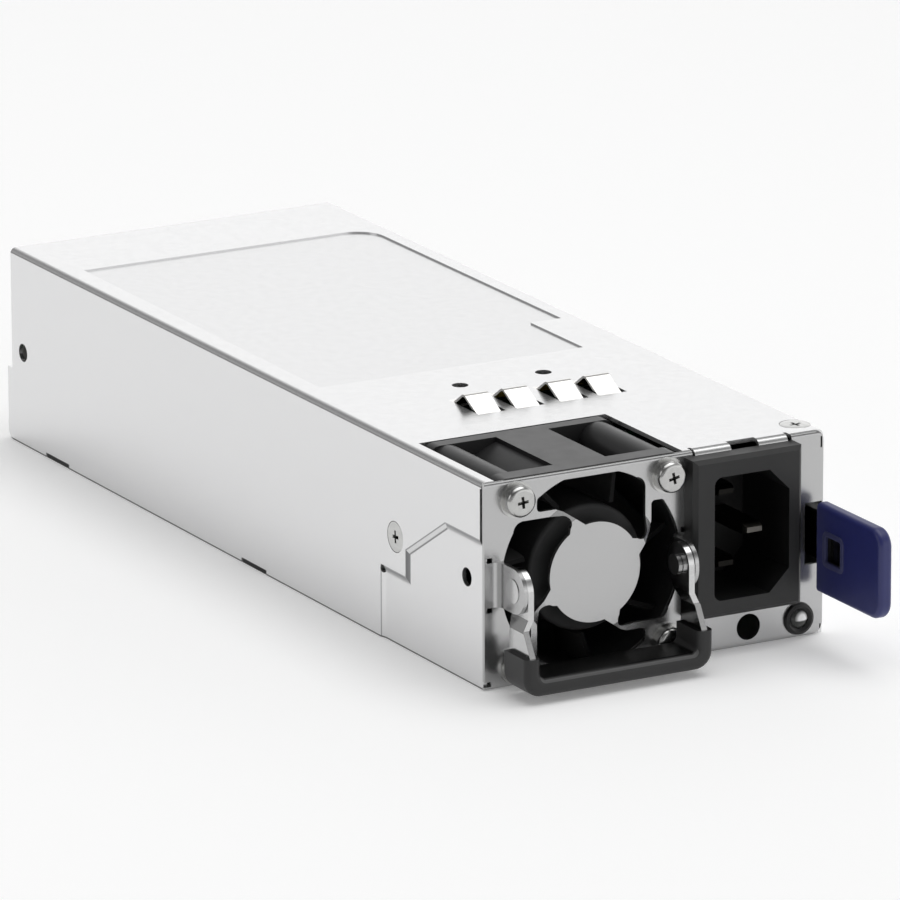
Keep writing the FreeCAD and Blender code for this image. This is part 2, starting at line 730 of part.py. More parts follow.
def build_fan_motor():
    """Shaft on the rotor, two bearings and the wound stator on the frame."""
    start = fan_front + 2.7
    keep(rod("fan_shaft", fan_x, start, fan_z, shaft_radius, fan_rear - 2.2 - start, "y"))
    bearings = body("fan_bearings")
    for y_low in (fan_front + 6.5, fan_rear - 5.2):
        add(bearings, "XZ", y_low, y_low + 2.5, (0, 0, 3.0), (0, 0, shaft_radius + 0.06),
            origin=(fan_x, fan_z))
    stator = body("fan_stator")
    add(stator, "XZ", fan_front + 8, fan_rear - 5, (0, 0, 9.6), (0, 0, 4.05), origin=(fan_x, fan_z))
    magnet = body("rotor_magnet")
    add(magnet, "XZ", fan_front + 6, fan_rear - 5, (0, 0, rotor_radius - 1.4),
        (0, 0, rotor_radius - 2.2), origin=(fan_x, fan_z))


def build_fan_screws():
    """Four pan head screws and the washers under their heads."""
    half_pitch = fan_screw_pitch / 2
    spots = [(fan_x + sx * half_pitch, fan_z + sz * half_pitch) for sx in (-1, 1) for sz in (-1, 1)]
    washer = 0.6
    washers = body("fan_washers")
    add(washers, "XZ", -washer, 0, *[(x, z, 3.5) for x, z in spots], *[(x, z, 1.7) for x, z in spots])
    screws = body("fan_screws")
    head = 2.3
    add(screws, "XZ", -washer - head, -washer, *[(x, z, fan_screw_head) for x, z in spots])
    add(screws, "XZ", -washer, 9, *[(x, z, 1.5) for x, z in spots])
    fillet(screws, 0.9, lambda edge: near(edge.CenterOfMass.y, -washer - head))


# ---------------------------------------------------------------- mains inlet and lamp

def socket_outline(grow=0):
    """Mouth of the inlet: two square corners on one long side, two cut ones on the other."""
    half_tall = 12.0 + grow
    low = inlet_x - 8.1 - grow
    high = inlet_x + 8.1 + grow
    cut_corner = 4.3
    soft = 1.6
    bottom = inlet_z - half_tall
    top = inlet_z + half_tall
    return [(low + soft, bottom), (high - cut_corner, bottom), (high, bottom + cut_corner),
            (high, top - cut_corner), (high - cut_corner, top), (low + soft, top),
            (low, top - soft, soft), (low, bottom + soft), (low + soft, bottom, soft)][1:]


def build_inlet():
    """Moulded mains inlet: bezel, socket body and the three blades."""
    inlet = body("ac_inlet")
    middle = inlet_x + flange_shift
    add(inlet, "XZ", -flange_thickness, 0,
        rectangle(middle - flange_width / 2, flange_top - flange_height, middle + flange_width / 2, flange_top))
    chamfer(inlet, 0.8, lambda edge: near(edge.CenterOfMass.y, -flange_thickness))
    add(inlet, "XZ", 0, inlet_depth, inlet_body_outline())
    cut(inlet, "XZ", -flange_thickness - 1, inlet_depth - 8, socket_outline())
    blades = pin_outlines()
    cut(inlet, "XZ", inlet_depth - 10, inlet_depth + 1, *blades)
    pins = body("inlet_pins")
    rear = inlet_depth + 3
    add(pins, "XZ", 2.3, rear, blades[0], blades[1])
    add(pins, "XZ", -1.4, rear, blades[2])
    chamfer(pins, 0.4, lambda edge: near(edge.CenterOfMass.y, 2.3) or near(edge.CenterOfMass.y, -1.4))


def inlet_body_outline(grow=0):
    """The part of the inlet that passes through the plate."""
    middle = inlet_x + flange_shift + 0.15
    half_wide = flange_width / 2 - 1.25 + grow
    half_tall = flange_height / 2 - 1.3 + grow
    centre_z = flange_top - flange_height / 2
    return rectangle(middle - half_wide, centre_z - half_tall, middle + half_wide, centre_z + half_tall)


def pin_outlines():
    """The live, neutral and earth blades seen from the front."""
    wide, tall = 2.0, 1.0
    blades = []
    for x, z in ((inlet_x - 1.9, inlet_z + pin_pitch / 2), (inlet_x - 1.9, inlet_z - pin_pitch / 2),
                 (inlet_x + 2.1, inlet_z + 0.0)):
        blades.append(rectangle(x - wide, z - tall, x + wide, z + tall))
    return blades


def build_lamp():
    """Status lamp: a dark bezel pressed in the plate and a clear light pipe."""
    bezel = body("lamp_bezel")
    ring = [(1.9, -0.5), (2.5, -0.9), (3.0, -0.7), (3.2, 0), (2.45, 0), (2.45, 5), (1.9, 5)]
    turn(bezel, "XY", "V_Axis", ring, level=led_z, origin=(led_x, 0))
    lens = body("lamp_lens")
    dome = [(0, -1.2), (1.85, -0.4, 2.6), (1.85, 6.5), (0, 6.5)]
    turn(lens, "XY", "V_Axis", dome, level=led_z, origin=(led_x, 0))


# ---------------------------------------------------------------- handle

strap_steel = 1.2
leg_thickness = 3.2
grip_low = 1.5
grip_front = pivot_y - 7.6
grip_rear = pivot_y + 1.4
leg_top = pivot_z - 11.3
joggle_top = ear_low - 0.4
joggle_low = ear_low - 2.8
upper_reach = ear_reach - ear_steel - running_fit
lower_reach = handle_span / 2 - 1.1
strap_low = grip_low + 1.3


def strap_outline():
    """Front view of the strap: down one side, under, and up the other."""
    top = pivot_z + eye_radius
    outside = [(upper_reach, top), (upper_reach, joggle_top), (lower_reach, joggle_low),
               (lower_reach, strap_low)]
    inside = [(lower_reach - strap_steel, strap_low + strap_steel),
              (lower_reach - strap_steel, joggle_low), (upper_reach - strap_steel, joggle_top),
              (upper_reach - strap_steel, top)]
    right = [(handle_x + reach, z) for reach, z in outside]
    left = [(handle_x - reach, z) for reach, z in reversed(outside)]
    left_back = [(handle_x - reach, z) for reach, z in reversed(inside)]
    right_back = [(handle_x + reach, z) for reach, z in inside]
    return right + left + left_back + right_back


def strap_side():
    """Side view of one arm: a round eye, a narrow neck and a foot that flares into the grip."""
    lift = root_of(eye_radius * eye_radius - 1.9 * 1.9)
    foot_front = grip_front + 0.7
    foot_rear = pivot_y + 0.8
    return [(pivot_y + 1.9, pivot_z - lift), (pivot_y, pivot_z + eye_radius, eye_radius),
            (pivot_y - eye_radius, pivot_z, eye_radius), (pivot_y - eye_radius, joggle_low + 0.4),
            (foot_front, leg_top), (foot_front, strap_low), (foot_rear, strap_low),
            (foot_rear, joggle_low), (pivot_y + 1.9, joggle_top)]


def build_handle():
    """Steel strap, moulded grip and the two rivets that the handle swings on."""
    strap = body("handle_strap")
    add(strap, "XZ", grip_front, grip_rear + 4, strap_outline())
    frame = rectangle(grip_front - 2, grip_low - 2, grip_rear + 6, pivot_z + eye_radius + 2)
    cut(strap, "YZ", handle_x - handle_span, handle_x + handle_span, frame, strap_side())
    cut(strap, "YZ", handle_x - handle_span, handle_x + handle_span,
        (pivot_y, pivot_z, rivet_radius + running_fit))
    grip = body("handle_grip")
    half = handle_span / 2
    corner = 3.5
    inside = half - leg_thickness
    low_inside = grip_low + 3.4
    outline = [(handle_x - half, leg_top), (handle_x - half, grip_low + corner),
               (handle_x - half + corner, grip_low, corner), (handle_x + half - corner, grip_low),
               (handle_x + half, grip_low + corner, corner), (handle_x + half, leg_top),
               (handle_x + inside, leg_top), (handle_x + inside, low_inside + 1.2),
               (handle_x + inside - 1.2, low_inside, -1.2), (handle_x - inside + 1.2, low_inside),
               (handle_x - inside, low_inside + 1.2, -1.2), (handle_x - inside, leg_top)]
    add(grip, "XZ", grip_front, grip_rear, outline)
    fillet(grip, 0.8, lambda edge: near(edge.CenterOfMass.y, grip_rear))
    fillet(grip, 1.3, lambda edge: near(edge.CenterOfMass.y, grip_front)
           and not near(edge.CenterOfMass.z, leg_top))
    cut(grip, "XZ", grip_front + 0.7, pivot_y + 0.8, strap_outline())
    rivets = body("handle_rivets")
    for side in (-1, 1):
        outer = handle_x + side * (ear_reach + 0.15)
        face = handle_x + side * ear_reach
        inner = handle_x + side * (upper_reach - strap_steel - 0.1)
        tail = handle_x + side * (upper_reach - strap_steel - 0.9)
        for first, second, radius in ((outer, face, 2.3), (face, inner, rivet_radius), (inner, tail, 2.0)):
            low, high = (first, second) if side < 0 else (second, first)
            add(rivets, "YZ", low, high, (pivot_y, pivot_z, radius))


# ---------------------------------------------------------------- release latch

def build_latch():
    """Spring steel arm with a barb, its coloured finger tab and the riveted foot."""
    spring_in = latch_x - spring_steel / 2
    spring_out = latch_x + spring_steel / 2
    wall = inner_half - sheet_gap
    tab_rear = -3.4
    tab_front = tab_rear - tab_length
    buried = tab_rear - 11.6
    joint = latch_root_y
    seat = wall - spring_steel
    arm = body("latch_spring")
    add(arm, "XY", latch_z - 4.5, latch_z + 4.5,
        [(spring_in, buried), (spring_out, buried), (spring_out, joint - 13), (wall, joint - 7),
         (wall, joint - 0.2), (seat, joint - 0.2), (seat, joint - 7), (spring_in, joint - 13)])
    barb_reach = half_width + 1.0
    add(arm, "XY", latch_z - 3, latch_z + 3,
        [(spring_out - 0.1, barb_low), (barb_reach, barb_high - 2), (barb_reach, barb_high - 0.4),
         (spring_out - 0.1, barb_high)])
    foot = body("latch_foot")
    add(foot, "XY", latch_z - 4.5, latch_z + 4.5, rectangle(seat, joint, wall, joint + 12))
    cut(foot, "YZ", seat - 1, wall + 1, (joint + 3.5, latch_z, 1.25), (joint + 8.5, latch_z, 1.25))
    rivets = body("latch_rivets")
    for along_y in (joint + 3.5, joint + 8.5):
        add(rivets, "YZ", seat, wall, (along_y, latch_z, 1.2))
        add(rivets, "YZ", seat - 0.8, seat, (along_y, latch_z, 2.1))
    tab = body("latch_tab")
    tab_out = spring_out + 1.0
    tab_in = tab_out - tab_thickness
    tab_low = latch_z - tab_height / 2 - 1.8
    tab_high = tab_low + tab_height
    add(tab, "XY", tab_low, tab_high, rectangle(tab_in, tab_front, tab_out, tab_rear))
    fillet(tab, 3.4, lambda edge: along(edge, "x") and near(edge.CenterOfMass.y, tab_front))
    fillet(tab, 1.0, lambda edge: (near(edge.CenterOfMass.x, tab_in) or near(edge.CenterOfMass.x, tab_out))
           and not near(edge.CenterOfMass.y, tab_rear))
    cut(tab, "XY", latch_z - 4.5, latch_z + 4.5, rectangle(spring_in, buried, spring_out, tab_rear + 1))
    cut(tab, "YZ", tab_in - 1, spring_in + 0.1,
        rectangle(tab_rear - 8.8, latch_z - 3.9, tab_rear - 3.2, latch_z + 1.4))


# ---------------------------------------------------------------- electronics inside

def build_boards():
    """Main board with its card edge, and what holds it off the floor."""
    board = body("main_board")
    half = board_half
    front = fan_rear + 4
    rear = case_length - 2
    shoulder = card_edge_width / 2
    add(board, "XY", board_z, board_top,
        [(-half, front), (half, front), (half, rear), (shoulder, rear),
         (shoulder, case_length + card_edge_reach), (-shoulder, case_length + card_edge_reach),
         (-shoulder, rear), (-half, rear)])
    contacts = body("card_edge_contacts")
    count = 18
    pitch = (card_edge_width - 7.2) / (count - 1)
    first = -pitch * (count - 1) / 2
    pads = [rectangle(first + pitch * index - 0.85, case_length + 1.2, first + pitch * index + 0.85,
                      case_length + card_edge_reach - 0.6) for index in range(count)]
    add(contacts, "XY", board_top, board_top + 0.1, *pads)
    add(contacts, "XY", board_z - 0.1, board_z, *pads)
    spots = [(x, y) for x in (5.55 - board_half, board_half - 5.55)
             for y in (66, 118, case_length - 14)]
    standoffs = body("board_standoffs")
    add(standoffs, "XY", sheet_steel, board_z, *[(x, y, 2.5) for x, y in spots])
    screws = body("board_screws")
    add(screws, "XY", board_top, board_top + 1.6, *[(x, y, 2.5) for x, y in spots])
    keep(block("insulation_sheet", -half + 4, half - 4, 70, 112, sheet_steel, sheet_steel + 0.4))


def build_power_parts():
    """The large components of the power stage, in the order that the current meets them."""
    keep(block("inlet_board", inlet_x - 11, inlet_x + 11, inlet_depth + 3, inlet_depth + 4.6,
               inlet_z - 15, inlet_z + 14))
    emi = body("emi_choke")
    turn(emi, "XZ", "V_Axis", rounded(4.5, 0, 10.5, 9, 2.5), level=45, origin=(board_half - 18.55, board_top))
    pfc = body("pfc_choke")
    turn(pfc, "XZ", "V_Axis", rounded(5, 0, 12, 11, 3), level=50, origin=(18.55 - board_half, board_top))
    keep(block("x_capacitor", board_half - 29.55, board_half - 9.55, 60, 69, board_top, board_top + 17))
    keep(block("relay", board_half - 25.55, board_half - 7.55, 73, 85, board_top, board_top + 15))
    keep(rod("input_fuse", board_half - 3.55, 40, board_top + 3, 2.6, 20, "y"))
    keep(rod("bulk_capacitor", 15.55 - board_half, 68, board_top + 15, 15, 46, "y"))
    keep(block("transformer", 3.55 - board_half, 31.55 - board_half, 122, 152, board_top, board_top + 26))
    sink = body("heat_sink")
    fin = 1.2
    plate = board_half - 30.55
    low, high = 88, case_length - 44
    tall = inner_top - board_top - 4.8
    add(sink, "YZ", plate, plate + 2.5, rectangle(low, board_top, high, board_top + tall))
    heights = [(tall - fin) * step / 4 for step in range(5)]
    fins = [rectangle(low, board_top + rise, high, board_top + rise + fin) for rise in heights]
    add(sink, "YZ", plate + 2.5, plate + 11, *fins)
    transistors = body("power_transistors")
    add(transistors, "XY", board_top, board_top + 16, rectangle(plate - 5, 92, plate, 102),
        rectangle(plate - 5, 106, plate, 116))
    caps = body("output_capacitors")
    gap = (2 * board_half - 22.1) / 5
    spots = [(7.55 - board_half + gap * index, case_length - back) for index in range(6) for back in (34, 24)]
    add(caps, "XY", board_top, board_top + 16, *[(x, y, 4) for x, y in spots])
    keep(block("control_board", board_half - 2.05, board_half - 0.45, 95, case_length - 29,
               board_top, board_top + 24))
    keep(block("fan_connector", 0.55 - board_half, 5.55 - board_half, fan_rear + 6.2, fan_rear + 12.2,
               board_top, board_top + 8))


def build_case_screws():
    """Flat head screws that hold the cover: one on top, one in each wall."""
    screws = body("cover_screws")
    radius = screw_head_radius
    for side, screw_y in side_screws:
        low, high = (-half_width, -inner_half) if side < 0 else (inner_half, half_width)
        stem_low, stem_high = (-inner_half, -inner_half + 4) if side < 0 else (inner_half - 4, inner_half)
        add(screws, "YZ", low, high, (screw_y, side_screw_z, radius))
        add(screws, "YZ", stem_low, stem_high, (screw_y, side_screw_z, 1.5))
    add(screws, "XY", inner_top, case_height, (top_screw_x, top_screw_y, radius))
    add(screws, "XY", inner_top - 4, inner_top, (top_screw_x, top_screw_y, 1.5))


build_cover()
build_base()
build_rear_panel()
build_fingers()
build_plate()
build_fan_frame()
build_impeller()
build_fan_motor()
build_fan_screws()
build_inlet()
build_lamp()
build_handle()
build_latch()
build_boards()
build_power_parts()
build_case_screws()

doc.recompute()
os.makedirs("parts", exist_ok=True)
for feature in doc.Objects:
    if "Invalid" in feature.State or "Error" in feature.State:
        raise RuntimeError(f"{feature.Label} did not build: {feature.State}")
for node in nodes:
    if node.Shape.isNull() or not node.Shape.isValid():
        raise RuntimeError(f"{node.Label} has no valid shape")
    node.Shape.exportStep(f"parts/{node.Label}.step")
    print(f"{node.Label}: {len(node.Shape.Solids)} solid(s), {node.Shape.Volume:.1f} mm3")
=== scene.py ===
# %% [markdown]
# # A hot swap server power supply
# The real object is a long folded steel case with a small fan and a mains inlet at one end and a
# card edge at the other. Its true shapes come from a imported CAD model, so this script adds what
# CAD leaves plain: finishes, screws with driven crosses, struck blade tips, light and a camera.
# Loading the model first fixes every size. All lengths from here on are in metres.

import math

import bmesh
import bpy
from mathutils import Matrix, Vector


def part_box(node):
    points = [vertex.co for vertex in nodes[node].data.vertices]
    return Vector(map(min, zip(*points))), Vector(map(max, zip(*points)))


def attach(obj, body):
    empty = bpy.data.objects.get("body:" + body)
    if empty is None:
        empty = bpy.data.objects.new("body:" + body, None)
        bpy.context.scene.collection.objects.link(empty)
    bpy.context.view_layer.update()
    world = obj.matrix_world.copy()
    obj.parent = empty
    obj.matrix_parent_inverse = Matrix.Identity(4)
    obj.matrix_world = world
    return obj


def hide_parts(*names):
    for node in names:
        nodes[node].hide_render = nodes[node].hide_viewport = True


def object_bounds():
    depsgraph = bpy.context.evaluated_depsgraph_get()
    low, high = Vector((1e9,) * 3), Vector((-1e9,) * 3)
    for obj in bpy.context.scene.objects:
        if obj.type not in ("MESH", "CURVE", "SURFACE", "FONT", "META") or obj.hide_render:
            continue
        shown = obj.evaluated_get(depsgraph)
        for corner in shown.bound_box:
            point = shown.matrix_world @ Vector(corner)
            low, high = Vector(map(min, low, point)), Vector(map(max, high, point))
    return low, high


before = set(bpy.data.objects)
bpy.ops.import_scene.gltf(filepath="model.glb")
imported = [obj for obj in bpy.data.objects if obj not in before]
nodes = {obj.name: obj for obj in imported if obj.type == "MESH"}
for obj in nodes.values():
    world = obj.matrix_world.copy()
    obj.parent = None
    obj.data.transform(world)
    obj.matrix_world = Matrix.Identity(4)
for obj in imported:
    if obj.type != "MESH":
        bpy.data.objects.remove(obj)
cad_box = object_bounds()
MM = 0.001

# %% [markdown]
# ## Colour and camera
# Bare metal in a white studio has to keep clean whites, and a filmic view would grey them, so the
# standard view transform is used. Small goods are shot from far away with a long lens, which
# keeps the long edges of the case nearly parallel.

# %% Camera
bpy.context.scene.view_settings.view_transform = "Standard"
CAMERA_PLACE = (-0.8644, -1.47612, 0.53705)
CAMERA_TURN = (73.8375, 0.1697, -29.1200)
CAMERA_LENS = 384
camera_data = bpy.data.cameras.new("studio_camera")
camera_data.lens = CAMERA_LENS
camera_data.clip_start = 0.1
camera = bpy.data.objects.new("studio_camera", camera_data)
camera.location = CAMERA_PLACE
camera.rotation_euler = [math.radians(angle) for angle in CAMERA_TURN]
bpy.context.scene.collection.objects.link(camera)
bpy.context.scene.camera = camera
print("lens:", camera_data.lens, "mm")

# %% [markdown]
# ## Floor
# Flat steel shows what it faces, so a studio for sheet metal is built from large, even surfaces.
# The long side and the front plate reflect the floor. It is bright paper that glows a little, as
# on a light table, so its shadows stay pale. One large plane is enough for that.
# An operator acts on all that is selected, so a helper first clears the selection.

# %% Floor
def deselect_all():
    """Nothing selected, and object mode on: the start that every operator below expects."""
    if bpy.context.object and bpy.context.object.mode != "OBJECT":
        bpy.ops.object.mode_set(mode="OBJECT")
    bpy.ops.object.select_all(action="DESELECT")


def principled(name, colour, metallic=0.0, roughness=0.5):
    """A new material: its name, its node tree and its Principled shader."""
    material = bpy.data.materials.new(name)
    material.use_nodes = True
    tree = material.node_tree
    shader = tree.nodes["Principled BSDF"]
    shader.inputs["Base Color"].default_value = (*colour, 1)
    shader.inputs["Metallic"].default_value = metallic
    shader.inputs["Roughness"].default_value = roughness
    return material, tree, shader


def grey(level, blue=0.0):
    """A grey, with a little more blue where it is wanted."""
    return (level, level, level + blue)


FLOOR_GLOW = 0.16
deselect_all()
bpy.ops.mesh.primitive_plane_add(size=8, location=(0, 1, 0))
floor = bpy.context.object
floor.name = "floor"
bpy.ops.object.transform_apply(location=True)
paper, _, paper_shader = principled("floor_paper", grey(0.93), roughness=0.9)
paper_shader.inputs["Emission Color"].default_value = (1, 1, 1, 1)
paper_shader.inputs["Emission Strength"].default_value = FLOOR_GLOW
floor.data.materials.append(paper)
print("floor:", tuple(round(side, 2) for side in floor.dimensions))

# %% [markdown]
# ## Surround
# The surround is bright low down, where the top of the case looks, dim in the middle, so that
# folds and rivets get a dark line, and bright overhead. Its left side is dimmer, so that the steps
# pressed in the left wall show. Many lamps could do this, but each would add noise, and a gradient
# in the world adds none. Three small helpers wire its nodes, and serve every finish below too.

# %% Surround
def add_node(tree, kind, **values):
    """A node with some of its inputs or settings filled in."""
    made = tree.nodes.new("ShaderNode" + kind)
    for key, value in values.items():
        label = key.replace("_", " ").title()
        if label in made.inputs:
            made.inputs[label].default_value = value
        else:
            setattr(made, key, value)
    return made


def spread(tree, value, start, end, low=0.0, high=1.0):
    """A value mapped so that start gives low and end gives high, and kept between them."""
    mapped = add_node(tree, "MapRange", from_min=start, from_max=end, to_min=low, to_max=high)
    tree.links.new(value, mapped.inputs["Value"])
    return mapped.outputs["Result"]


def steps(tree, value, stops):
    """A grey read from a value between 0 and 1 through a list of (position, level) stops."""
    ramp = add_node(tree, "ValToRGB")
    points = ramp.color_ramp.elements
    while len(points) < len(stops):
        points.new(0.5)
    for point, (position, level) in zip(points, stops):
        point.position, point.color = position, (*grey(level), 1)
    tree.links.new(value, ramp.inputs["Fac"])
    return ramp.outputs["Color"]


def studio_surround(levels, left_share, strength):
    """World light that depends on height and is dimmer towards -x, from (sine, grey) pairs."""
    world = bpy.data.worlds.new("studio")
    world.use_nodes = True
    tree = world.node_tree
    background = tree.nodes["Background"]
    direction = add_node(tree, "TexCoord")
    parts = add_node(tree, "SeparateXYZ")
    tree.links.new(direction.outputs["Generated"], parts.inputs["Vector"])
    tree.links.new(steps(tree, parts.outputs["Z"], levels), background.inputs["Color"])
    across = spread(tree, parts.outputs["X"], *SIDE_BAND, left_share * strength, strength)
    tree.links.new(across, background.inputs["Strength"])
    bpy.context.scene.world = world


SIDE_BAND = (-0.2, 0.25)
SURROUND_LEVELS = [(0.0, 0.60), (0.34, 0.60), (0.48, 0.32), (0.74, 0.13), (0.9, 0.80)]
studio_surround(SURROUND_LEVELS, left_share=0.28, strength=2.0)
print("surround:", bpy.context.scene.world.name)

# %% [markdown]
# ## Panels
# A surround alone gives no direction. One wide panel above and a weaker one at the left give the
# object a soft shadow and lift the floor that the walls reflect.

# %% Panels
def soft_panel(name, place, target, width, height, watts):
    """A rectangular area light that looks at a point."""
    light = bpy.data.lights.new(name, "AREA")
    light.shape = "RECTANGLE"
    light.size = width
    light.size_y = height
    light.energy = watts
    panel = bpy.data.objects.new(name, light)
    panel.location = place
    panel.rotation_euler = (Vector(target) - Vector(place)).to_track_quat("-Z", "Y").to_euler()
    bpy.context.scene.collection.objects.link(panel)
    return panel


middle = (cad_box[0] + cad_box[1]) / 2
soft_panel("panel_overhead", (0.1, 0.1, 1.4), middle, width=1.4, height=1.4, watts=6.8)
soft_panel("panel_left", (-1.4, 0.3, 0.7), middle, width=0.8, height=0.6, watts=1.5)
print("lights:", len(bpy.data.lights))

# %% [markdown]
# ## How a finish varies
# No real surface has one flat colour. Each finish below starts from a Principled shader, and a
# few small nodes vary it: a noise for the colour, one for the roughness, and a fine one for the
# bump. They all read Object coordinates, which are the model's own metres, so a grain of half a
# millimetre is half a millimetre everywhere.

# %% Noise, colour and relief
NOISE_SPAN = (0.3, 0.7)


def coordinates(tree, stretch=(1, 1, 1)):
    """Object coordinates, stretched to draw a grain out along an axis."""
    place = add_node(tree, "TexCoord")
    mapping = add_node(tree, "Mapping", scale=stretch)
    tree.links.new(place.outputs["Object"], mapping.inputs["Vector"])
    return mapping.outputs["Vector"]


def noise(tree, size_mm, low, high, detail=3.0, stretch=(1, 1, 1)):
    """Noise with features of a given size, spread from low to high."""
    texture = add_node(tree, "TexNoise", scale=1 / (size_mm * MM), detail=detail)
    tree.links.new(coordinates(tree, stretch), texture.inputs["Vector"])
    return spread(tree, texture.outputs["Fac"], *NOISE_SPAN, low, high)


def mix_colours(tree, mask, first, second):
    """A colour that goes from the first to the second with the mask. Either may be a socket."""
    mix = add_node(tree, "Mix", data_type="RGBA")
    tree.links.new(mask, mix.inputs["Factor"])
    for slot, value in (("A", first), ("B", second)):
        socket = [item for item in mix.inputs if item.name == slot and item.type == "RGBA"][0]
        if isinstance(value, tuple):
            socket.default_value = (*value, 1)
        else:
            tree.links.new(value, socket)
    return [item for item in mix.outputs if item.type == "RGBA"][0]


def bump(tree, shader, height, strength, depth_mm):
    """Fine relief on a shader, from a height mask."""
    relief = add_node(tree, "Bump", strength=strength, distance=depth_mm * MM)
    tree.links.new(height, relief.inputs["Height"])
    tree.links.new(relief.outputs["Normal"], shader.inputs["Normal"])


def wear(material, *node_names):
    """Give CAD nodes their finish."""
    for node_name in node_names:
        mesh = nodes[node_name].data
        mesh.materials.clear()
        mesh.materials.append(material)


print("nodes that need a finish:", len(nodes))

# %% [markdown]
# ## Where a finish changes
# A painted shade or highlight lies in one place of a piece only, and so does the darker bed of the
# label. Splitting its mesh would mark that place, but the CAD meshes stay whole, so the shader
# finds it: by a coordinate, by the way that the surface faces, or by the distance from a line.
# Such masks are multiplied to narrow them down, and the product mixes another shade into the
# colour.

# %% Masks
def axis_value(tree, axis):
    """One Object coordinate, in metres."""
    parts = add_node(tree, "SeparateXYZ")
    tree.links.new(coordinates(tree), parts.inputs["Vector"])
    return parts.outputs[axis]


def facing_value(tree, axis):
    """One part of the surface's own direction, between -1 and 1."""
    facing = add_node(tree, "TexCoord")
    parts = add_node(tree, "SeparateXYZ")
    tree.links.new(facing.outputs["Normal"], parts.inputs["Vector"])
    return parts.outputs[axis]


def near(tree, value, centre, reach):
    """1 where a value lies within a reach of a centre, 0 elsewhere."""
    test = add_node(tree, "Math", operation="COMPARE")
    tree.links.new(value, test.inputs[0])
    test.inputs[1].default_value, test.inputs[2].default_value = centre, reach
    return test.outputs["Value"]


def product(tree, first, *others):
    """Masks multiplied together."""
    for other in others:
        both = add_node(tree, "Math", operation="MULTIPLY")
        tree.links.new(first, both.inputs[0])
        tree.links.new(other, both.inputs[1])
        first = both.outputs["Value"]
    return first


def distance_from_line(tree, centre):
    """Distance from a line along Y through a point."""
    offset = add_node(tree, "VectorMath", operation="SUBTRACT")
    offset.inputs[1].default_value = centre
    flat = add_node(tree, "VectorMath", operation="MULTIPLY")
    flat.inputs[1].default_value = (1, 0, 1)
    length = add_node(tree, "VectorMath", operation="LENGTH")
    tree.links.new(coordinates(tree), offset.inputs[0])
    tree.links.new(offset.outputs["Vector"], flat.inputs[0])
    tree.links.new(flat.outputs["Vector"], length.inputs[0])
    return length.outputs["Value"]


def shade_where(material, mask, shade):
    """Mix a finish's colour towards a shade where the mask is 1."""
    tree = material.node_tree
    colour = tree.nodes["Principled BSDF"].inputs["Base Color"]
    tree.links.new(mix_colours(tree, mask, colour.links[0].from_socket, shade), colour)


case_low, case_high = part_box("case_cover")
print("the case lies between", case_low, "and", case_high)

# %% [markdown]
# ## Sheet metal
# The case is folded from zinc coated steel. Zinc is not a mirror: it has a fine sandy grain, a
# faint cloudiness from the bath, and it scatters light widely. Two noises mix two greys, one at
# half a millimetre and one at two centimetres, and a coarser grain moves the roughness. The front
# plate is duller and the handle's strap sharper. The latch's arm is painted near black, a painted
# shade for the dark slot that it sits in.

# %% Sheet finishes
def sheet_metal(name, light, dark, metallic, roughness, grain_mm):
    """Zinc coated or plain steel sheet."""
    material, tree, shader = principled(name, light, metallic, roughness)
    grain = noise(tree, grain_mm, low=0, high=1, detail=4)
    clouds = noise(tree, size_mm=22, low=0, high=0.5, detail=2)
    halfway = tuple((a + b) / 2 for a, b in zip(light, dark))
    colour = mix_colours(tree, grain, mix_colours(tree, clouds, light, halfway), dark)
    tree.links.new(colour, shader.inputs["Base Color"])
    uneven = noise(tree, grain_mm * 3, roughness - 0.02, roughness + 0.02)
    tree.links.new(uneven, shader.inputs["Roughness"])
    bump(tree, shader, grain, strength=0.35, depth_mm=0.002)
    return material


def galvanised(name):
    """The zinc coated sheet of the case."""
    return sheet_metal(name, grey(0.80, 0.003), grey(0.775, 0.005),
                       metallic=0.88, roughness=0.24, grain_mm=0.6)


zinc = galvanised("galvanised_sheet")
floor_zinc = galvanised("floor_sheet")
plate_steel = sheet_metal("plate_sheet", grey(0.50), grey(0.48, 0.002),
                          metallic=0.95, roughness=0.245, grain_mm=0.5)
strap_steel = sheet_metal("strap_steel", grey(0.62), grey(0.56),
                          metallic=1.0, roughness=0.17, grain_mm=0.5)
spring = sheet_metal("spring_strip", (0.82, 0.81, 0.79), (0.70, 0.69, 0.67),
                     metallic=1.0, roughness=0.16, grain_mm=0.4)
# Painted shade: the latch's arm is near black for the dark slot it sits in.
latch_shade_black = sheet_metal("latch_steel", grey(0.07), grey(0.06),
                          metallic=1.0, roughness=0.25, grain_mm=0.4)
wear(zinc, "case_cover", "rear_vent_panel")
wear(floor_zinc, "base_chassis")
wear(plate_steel, "face_plate")
wear(strap_steel, "handle_strap", "handle_rivets")
wear(spring, "grounding_fingers")
wear(latch_shade_black, "latch_spring", "latch_foot")
print("sheet finishes:", zinc.name, plate_steel.name, spring.name)

# %% [markdown]
# ## Painted shade at edges and bends
# Painted shade lies along the lower edge of each wall, of the floor's sides and of the front
# plate, where the case meets the floor. It also dims the rolled edges at the front and the inside
# of the bend where an ear leaves the plate. Each mark is a narrow strip, found by the way that it
# faces and by its height or its distance from the plate's edge.

# %% Painted shade on edges and bends
def paint_foot_shade(material, axis, height, shade):
    """Painted shade on the lowest strip of the sheet that faces along an axis."""
    tree = material.node_tree
    upright = add_node(tree, "Math", operation="ABSOLUTE")
    tree.links.new(facing_value(tree, axis), upright.inputs[0])
    strip = product(tree, spread(tree, upright.outputs["Value"], 0.5, 0.7),
                    spread(tree, axis_value(tree, "Z"), height, 0.6 * height))
    shade_where(material, strip, shade)


